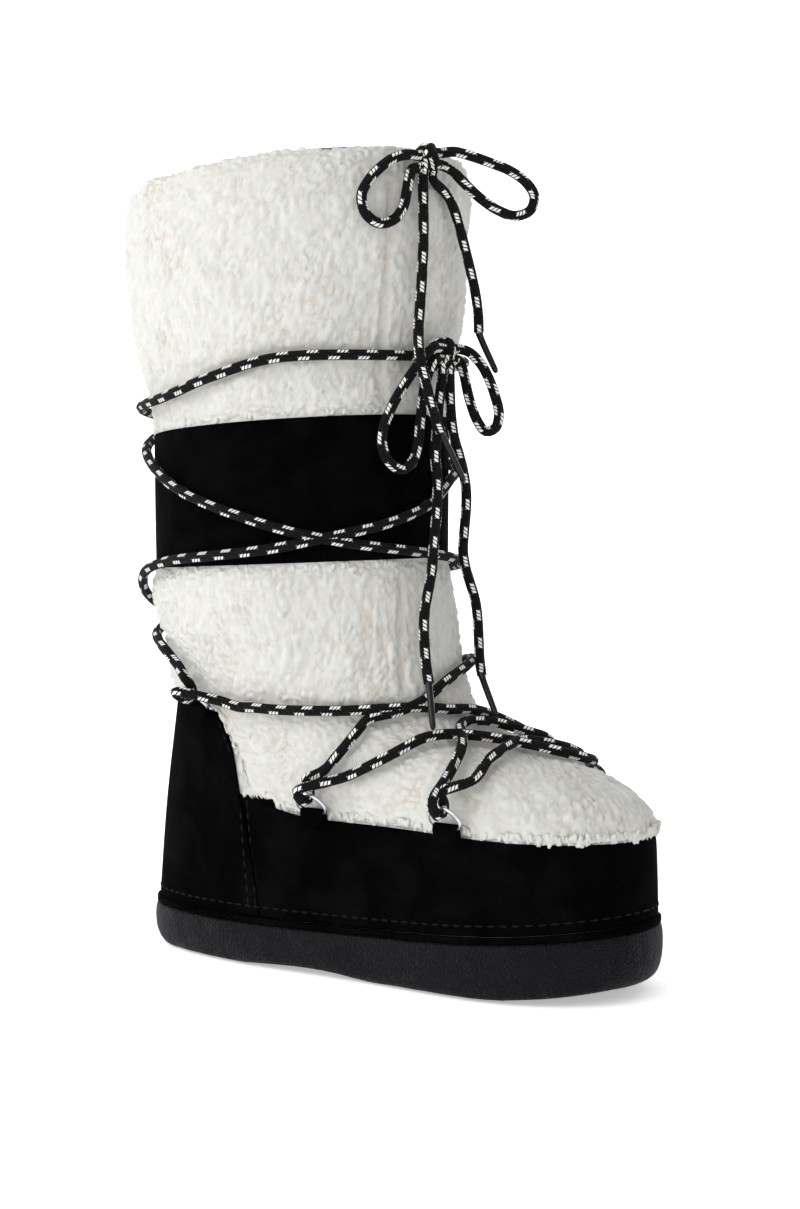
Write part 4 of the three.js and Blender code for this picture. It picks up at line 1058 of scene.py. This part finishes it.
class BOOT_OT_knots(bpy.types.Operator):
    """Both knots, tied of the same braid"""
    bl_idname = "boot.knots"
    bl_label = "Knots"

    def execute(self, context):
        turns = {
            # across, forward and up, in millimetres from the knot's middle
            "collar_knot": [
                [(-6.8, 0, 0.3), (-3.6, 0.4, 1), (0, 0.9, 2), (3.6, 0.4, 2.7), (6.8, 0, 2.9)],
                [(-6.8, 0, -5.9), (-3.6, 0.2, -4.6), (0, 0.6, -3), (3.6, 0.2, -2.8), (6.8, 0, -2.9)],
                [(-3, -2.8, 2.6), (-2.8, 0.2, 4.2), (-1.8, 3, 3.2), (0, 3.9, 0.2), (1.6, 3.4, -3), (2.4, 0.6, -5),
                 (2.4, -2.6, -4.4)],
                [(3.4, -2.8, 2), (2.6, -1, 4.2), (0.6, 1.6, 4.6), (-2, 2.6, 2.6), (-3.4, 1.2, 0)],
                [(-3, 0.3, -7.2), (-2.8, 0.8, -5), (-2.4, 0.2, -2), (-2, -1, 0)],
                [(2.7, 0.3, -7.2), (2.8, 0.8, -5), (2.6, 0.2, -2), (2, -1, 0)],
            ],
            "lower_knot": [
                [(-6.8, 3.2, 3), (-3.6, 3, 3), (0, 3, 2.7), (3.6, 3, 3), (6.8, 3.2, 3)],
                [(-6.8, 3.2, -2.6), (-3.6, 2.9, -2.4), (0, 2.6, -2.4), (3.6, 2.9, -2.4), (6.8, 3.2, -2.6)],
                [(2.4, -3, 5.4), (2.2, 1.2, 6.6), (1.5, 4.9, 4.4), (0.2, 5.6, 0.4), (-0.9, 4.9, -3.6),
                 (-1.3, 1.6, -5.8), (-1.2, -2.5, -5)],
                [(-2.2, -3.6, 4.8), (-2.2, 0.6, 6), (-2.8, 3.2, 5.2)],
                [(-3, 3.2, -8.5), (-2.9, 3.4, -6), (-2.4, 2, -3), (-2, 0, 0)],
                [(2.9, 3.2, -8.5), (2.8, 3.4, -6), (2.4, 2, -3), (2, 0, 0)],
                [(0, -4, 6), (0, -4.6, 0), (0, -4, -6)],
            ],
        }
        for node, routes in turns.items():
            middle = in_place(KNOTS[node]["middle"])
            spin = Matrix.Rotation(math.radians(KNOTS[node]["facing"]), 4, "Z")
            placed_routes = [[middle + spin @ Vector((front, across, up)) * MM for across, front, up in route]
                             for route in routes]
            name = node + "_tied"
            mesh = cord_mesh(name, placed_routes, LACE * MM, step=0.001)
            finish_piece(new_object(name, mesh, finish_of("lace")), [node])
        return {"FINISHED"}


class BOOT_OT_rings(bpy.types.Operator):
    """The six D-rings and the tabs that hold them"""
    bl_idname = "boot.rings"
    bl_label = "Rings and tabs"

    def execute(self, context):
        swell = context.scene.boot_sizes.ring_swell
        for ring in RING_ANGLES:
            tab = ring.replace("d_ring", "ring_tab")
            finish_piece(refined(ring + "_bent", ring, finish_of("steel"), 2, swell=swell), [ring])
            finish_piece(refined(tab + "_folded", tab, finish_of("suede"), 2, crease=0.75), [tab])
        return {"FINISHED"}


class BOOT_OT_sole(bpy.types.Operator):
    """The rubber sole and the footbed"""
    bl_idname = "boot.sole"
    bl_label = "Sole"

    def execute(self, context):
        finish_piece(refined("outsole_moulded", "outsole", finish_of("rubber"), 1, sharp=38), ["outsole"])
        finish_piece(refined("insole_wool", "insole", finish_of("footbed"), 1), ["insole"])
        return {"FINISHED"}


class BOOT_OT_suede(bpy.types.Operator):
    """The suede of the foot, the heel, the shaft's band and the rolled lip above the sole"""
    bl_idname = "boot.suede"
    bl_label = "Suede"

    def execute(self, context):
        for node in ("welt", "foot_panel", "heel_counter", "shaft_band"):
            piece = refined(node + "_suede", node, finish_of("suede"), 2, sharp=55, crease=0.7)
            finish_piece(piece, [node])
        return {"FINISHED"}


class BOOT_OT_stitches(bpy.types.Operator):
    """The rows of stitches above the welt and down the heel piece's seams"""
    bl_idname = "boot.stitches"
    bl_label = "Stitches"

    def execute(self, context):
        sizes = context.scene.boot_sizes
        suede = tree_of(bpy.data.objects["foot_panel_suede"], bpy.data.objects["heel_counter_suede"])
        rows = [[(angle, sole_top((1 - math.cos(math.radians(angle))) / 2) + 9) for angle in range(-180, 181, 2)]]
        for side in (-1, 1):
            for inset in (1.6, 3.8):
                rows.append([(side * (mix(COUNTER_FOOT_ANGLE, COUNTER_TOP_ANGLE, share / 20) - inset),
                              mix(34, suede_edge(60) - 3, share / 20)) for share in range(21)])
        build = bmesh.new()
        for row in rows:
            line = []
            for angle, height in row:
                place = row_at_height(angle, height)
                start, out = placed(wall_offset(place, angle, 12)), wall_normal(place, angle)
                found, normal, _, _ = suede.ray_cast(start, -out, 0.02)
                if found:
                    line.append((found, normal))
            travelled, due = 0.0, 0.0
            for (first, normal), (last, _) in zip(line, line[1:]):
                length = (last - first).length
                if length > 0.012:
                    continue
                while due <= travelled + length:
                    middle = first.lerp(last, (due - travelled) / max(length, 1e-9))
                    along = (last - first).normalized()
                    out = (normal - along * normal.dot(along)).normalized()
                    turn = Matrix((along, out.cross(along), out)).transposed().to_4x4()
                    size = Matrix.Diagonal((sizes.stitch_length / 2, 0.00055, 0.00045, 1))
                    bmesh.ops.create_uvsphere(build, u_segments=8, v_segments=6, radius=1,
                                              matrix=Matrix.Translation(middle) @ turn @ size)
                    due += sizes.stitch_pitch
                travelled += length
        finish_piece(new_object("stitches", mesh_from(build, "stitches"), finish_of("thread")))
        return {"FINISHED"}


class BOOT_OT_shearling(bpy.types.Operator):
    """The hollow shearling upper: its lining, and outside it the pile, pressed under the laces"""
    bl_idname = "boot.shearling"
    bl_label = "Shearling"

    def execute(self, context):
        sizes = context.scene.boot_sizes
        ground = refined("shearling_lining", "upper", finish_of("shearling"), 2, sharp=70, crease=0.4)
        sheets = tree_of(*(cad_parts[node] for node in ("foot_panel", "heel_counter", "shaft_band", "welt",
                                                              "outsole")))
        laces = find_tree([point for route in FOOT_ROUTES + SHAFT_ROUTES
                           for point in smooth_path([placed(point) for point in route], 0.0015)])
        seams = find_tree([placed(wall_offset(row_at_height(angle, height), angle, PILE))
                           for angle, height in seam_places()])
        lines = sides_of_wall()

        def covered(point, out):
            joint = abs(point.x + JOINT_X * MM) < JOINT_REACH * MM and point.z < (JOINT_PANEL - 1) * MM
            if joint or point.z < (TOE_PANEL - 2) * MM:
                return True
            return sheets.ray_cast(point + out * 0.0001, out, 0.012)[0] is not None

        outside, bare = set(), []
        for vert in ground.data.vertices:
            if not is_lining(vert.co, vert.normal, lines):
                outside.add(vert.index)
                if not covered(vert.co, vert.normal):
                    bare.append(vert.co.copy())
        open_wool = find_tree(bare)
        split = (BAND_BOTTOM + BAND_HEIGHT / 2) * MM
        chosen = {"cuff": set(), "leg": set(), "collar_lining": set()}
        edges = []
        for face in ground.data.polygons:
            if all(index in outside for index in face.vertices):
                if open_wool.find(face.center)[2] < 0.0065:
                    chosen["cuff" if face.center.z > split else "leg"].add(face.index)
            elif face.center.z > BOOT_HEIGHT * MM - sizes.lining_depth:
                chosen["collar_lining"].add(face.index)
        for zone, faces in chosen.items():
            pile = part_of(ground, faces, "shearling_" + zone, finish_of("shearling"))
            finer(pile, 1)
            if zone == "collar_lining":
                self.raise_lining(pile, lines, sizes, sizes.lining_relief)
            else:
                edges.extend(self.raise_pile(pile, covered, laces, seams, sizes))
                blacken_joint(pile)
            finish_piece(pile)
        without(ground, set().union(*chosen.values()))
        blacken_joint(ground)
        self.raise_lining(ground, lines, sizes, 0.001)
        finish_piece(ground, ["upper"])
        chance = random.Random(5)
        build = bmesh.new()
        for point, ahead, out in edges:
            self.add_lock(build, point, ahead, out, chance)
        finish_piece(new_object("shearling_locks", mesh_from(build, "shearling_locks"), finish_of("shearling")))
        return {"FINISHED"}

    @staticmethod
    def add_lock(build, point, ahead, out, chance):
        """A lock of wool that comes out of the pile and lies over the suede's edge."""
        clump = ease(0.3 + 1.3 * noise.noise(point * 105) + 0.7 * noise.noise(point * 340))
        if chance.random() > 0.08 + 0.9 * clump:
            return
        across = ahead.cross(out)
        heading = (ahead + across * chance.uniform(-0.7, 0.7)).normalized()
        long = mix(0.8, 3, clump) * chance.uniform(0.7, 1.15) * MM
        width = chance.uniform(0.7, 1.25) * MM
        curl = across * chance.uniform(-0.0009, 0.0009)
        fall = -(PILE - SUEDE - CLEARANCE - 0.5) * MM
        places = ((point - heading * 0.0034 - out * 0.0013, 0.9), (point - heading * 0.0008 - out * 0.0002, 1.15),
                  (point + heading * long * 0.4 + curl * 0.4 + out * fall * 0.3, 1),
                  (point + heading * long * 0.8 + curl + out * fall * 0.72, 0.62),
                  (point + heading * long + curl + out * fall, 0.15))
        side = heading.cross(out).normalized()
        skin(build, [ring_of(build, place, side, out, width * thick, 6) for place, thick in places])

    @staticmethod
    def raise_pile(pile, covered, laces, seams, sizes):
        """Raises the curls, presses them under the laces, and gives the places where the pile meets suede."""
        mesh = pile.data
        under = [covered(vert.co, vert.normal) for vert in mesh.vertices]
        suede_edge_tree = find_tree([vert.co for vert, hidden in zip(mesh.vertices, under) if hidden])
        hidden_outs = [vert.normal.copy() for vert, hidden in zip(mesh.vertices, under) if hidden]
        valleys, moved, edges = [], [], []
        for vert, hidden in zip(mesh.vertices, under):
            point, out = vert.co, vert.normal
            height, valley = curled(point, sizes.curl)
            out_by = 0.0
            if not hidden:
                gap = laces.find(point)[2]
                held = 1 - ease((gap / MM - 2.6) / 3.4)
                toe = sizes.toe_pile * ease((point.x - 0.07) / 0.05)
                seam = 1 - ease((seams.find(point)[2] / MM - 1.4) / 1.8)
                out_by = ((height * sizes.relief - sizes.sink + toe) * (1 - held)
                          - (sizes.sink + sizes.press) * held - SEAM_DEPTH * MM * seam)
                # Along the seams the pile turns towards tan: painted shade in their grooves.
                valley = mix(valley, 1, seam * 0.6)
                found, index, beyond = suede_edge_tree.find(point)
                if beyond < 0.0013 and point.z > (TOE_PANEL - 3) * MM:
                    facing = hidden_outs[index]
                    ahead = found - point
                    ahead = (ahead - facing * ahead.dot(facing)).normalized()
                    edges.append((point + out * out_by, ahead, facing))
            moved.append(point + out * out_by)
            valleys.append(valley)
        for vert, place in zip(mesh.vertices, moved):
            vert.co = place
        mesh.attributes.new("valley", "FLOAT", "POINT").data.foreach_set("value", valleys)
        mesh.update()
        return edges

    @staticmethod
    def raise_lining(lining, lines, sizes, relief):
        mesh = lining.data
        valleys, moved = [], []
        for vert in mesh.vertices:
            height, valley = curled(vert.co, sizes.curl * 1.25)
            below = ease((BOOT_HEIGHT * MM - 0.004 - vert.co.z) / 0.006)
            inner = below if is_lining(vert.co, vert.normal, lines) else 0.0
            moved.append(vert.co + vert.normal * ((height - 0.5) * relief * inner))
            valleys.append(valley)
        for vert, place in zip(mesh.vertices, moved):
            vert.co = place
        mesh.attributes.new("valley", "FLOAT", "POINT").data.foreach_set("value", valleys)
        mesh.update()


class BOOT_OT_stage(bpy.types.Operator):
    """The white studio round the boot"""
    bl_idname = "boot.stage"
    bl_label = "Studio"

    def execute(self, context):
        scene = context.scene
        sizes = scene.boot_sizes
        world = bpy.data.worlds.new("white")
        scene.world = world
        world.use_nodes = True
        world.node_tree.nodes["Background"].inputs["Color"].default_value = (1, 1, 1, 1)
        world.node_tree.nodes["Background"].inputs["Strength"].default_value = sizes.sky
        build = bmesh.new()
        bmesh.ops.create_grid(build, x_segments=1, y_segments=1, size=12)
        material, tree, shader = new_material("white_floor")
        set_shader(shader, color=(1, 1, 1, 1), roughness=1, specular=0.0)
        shader.inputs["Emission Color"].default_value = (1, 1, 1, 1)
        shader.inputs["Emission Strength"].default_value = 0.4
        floor = new_object("floor", mesh_from(build, "floor"), material)
        floor.location.z = -0.0002
        build = bmesh.new()
        low, high = [], []
        for step in range(25):
            turn = math.radians(BACKDROP_FACING + BACKDROP_SPAN * (step / 24 - 0.5))
            spot = Vector((math.cos(turn), math.sin(turn), 0)) * BACKDROP_RADIUS
            low.append(build.verts.new(spot - Vector((0, 0, 0.01))))
            high.append(build.verts.new(spot + Vector((0, 0, 5))))
        for step in range(24):
            build.faces.new((low[step], high[step], high[step + 1], low[step + 1]))
        white, tree, shader = new_material("white_backdrop")
        set_shader(shader, color=(0.8, 0.8, 0.8, 1), roughness=1, specular=0.0)
        shader.inputs["Emission Color"].default_value = (1, 1, 1, 1)
        shader.inputs["Emission Strength"].default_value = 0.6
        backdrop = new_object("backdrop", mesh_from(build, "backdrop"), white)
        lamp = bpy.data.lights.new("key", "AREA")
        lamp.shape, lamp.size, lamp.energy = "DISK", 1.1, sizes.key
        key = bpy.data.objects.new("key", lamp)
        scene.collection.objects.link(key)
        key.location = (-0.55, -1.35, 1.15)
        key.rotation_euler = (Vector((0, 0, 0.2)) - key.location).to_track_quat("-Z", "Y").to_euler()
        scene.view_settings.view_transform = "Standard"
        scene.view_settings.look = "None"
        return {"FINISHED"}


MAKERS = (BOOT_OT_camera, BOOT_OT_aglets, BOOT_OT_bow_cords, BOOT_OT_laid_laces, BOOT_OT_knots, BOOT_OT_rings,
          BOOT_OT_sole, BOOT_OT_suede, BOOT_OT_stitches, BOOT_OT_shearling, BOOT_OT_stage)


class BOOT_PT_panel(bpy.types.Panel):
    """Lists the boot's makers with their sizes and colours"""
    bl_idname = "BOOT_PT_panel"
    bl_label = "Suede boot"
    bl_space_type = "VIEW_3D"
    bl_region_type = "UI"
    bl_category = "Boot"

    def draw(self, context):
        for held in (context.scene.boot_sizes, context.scene.boot_colours):
            for name in held.__annotations__:
                self.layout.prop(held, name)
        for maker in MAKERS:
            self.layout.operator(maker.bl_idname)


CLASSES = (BootColours, BootSizes, *MAKERS, BOOT_PT_panel)


def register():
    for entry in CLASSES:
        bpy.utils.register_class(entry)
    bpy.types.Scene.boot_colours = PointerProperty(type=BootColours)
    bpy.types.Scene.boot_sizes = PointerProperty(type=BootSizes)


def unregister():
    del bpy.types.Scene.boot_sizes
    del bpy.types.Scene.boot_colours
    for entry in reversed(CLASSES):
        bpy.utils.unregister_class(entry)


def main():
    register()
    bpy.ops.boot.camera()
    bpy.ops.boot.aglets()
    bpy.ops.boot.bow_cords()
    bpy.ops.boot.laid_laces()
    bpy.ops.boot.knots()
    bpy.ops.boot.rings()
    bpy.ops.boot.sole()
    bpy.ops.boot.suede()
    bpy.ops.boot.stitches()
    bpy.ops.boot.shearling()
    bpy.ops.boot.stage()


if __name__ == "__main__":
    main()
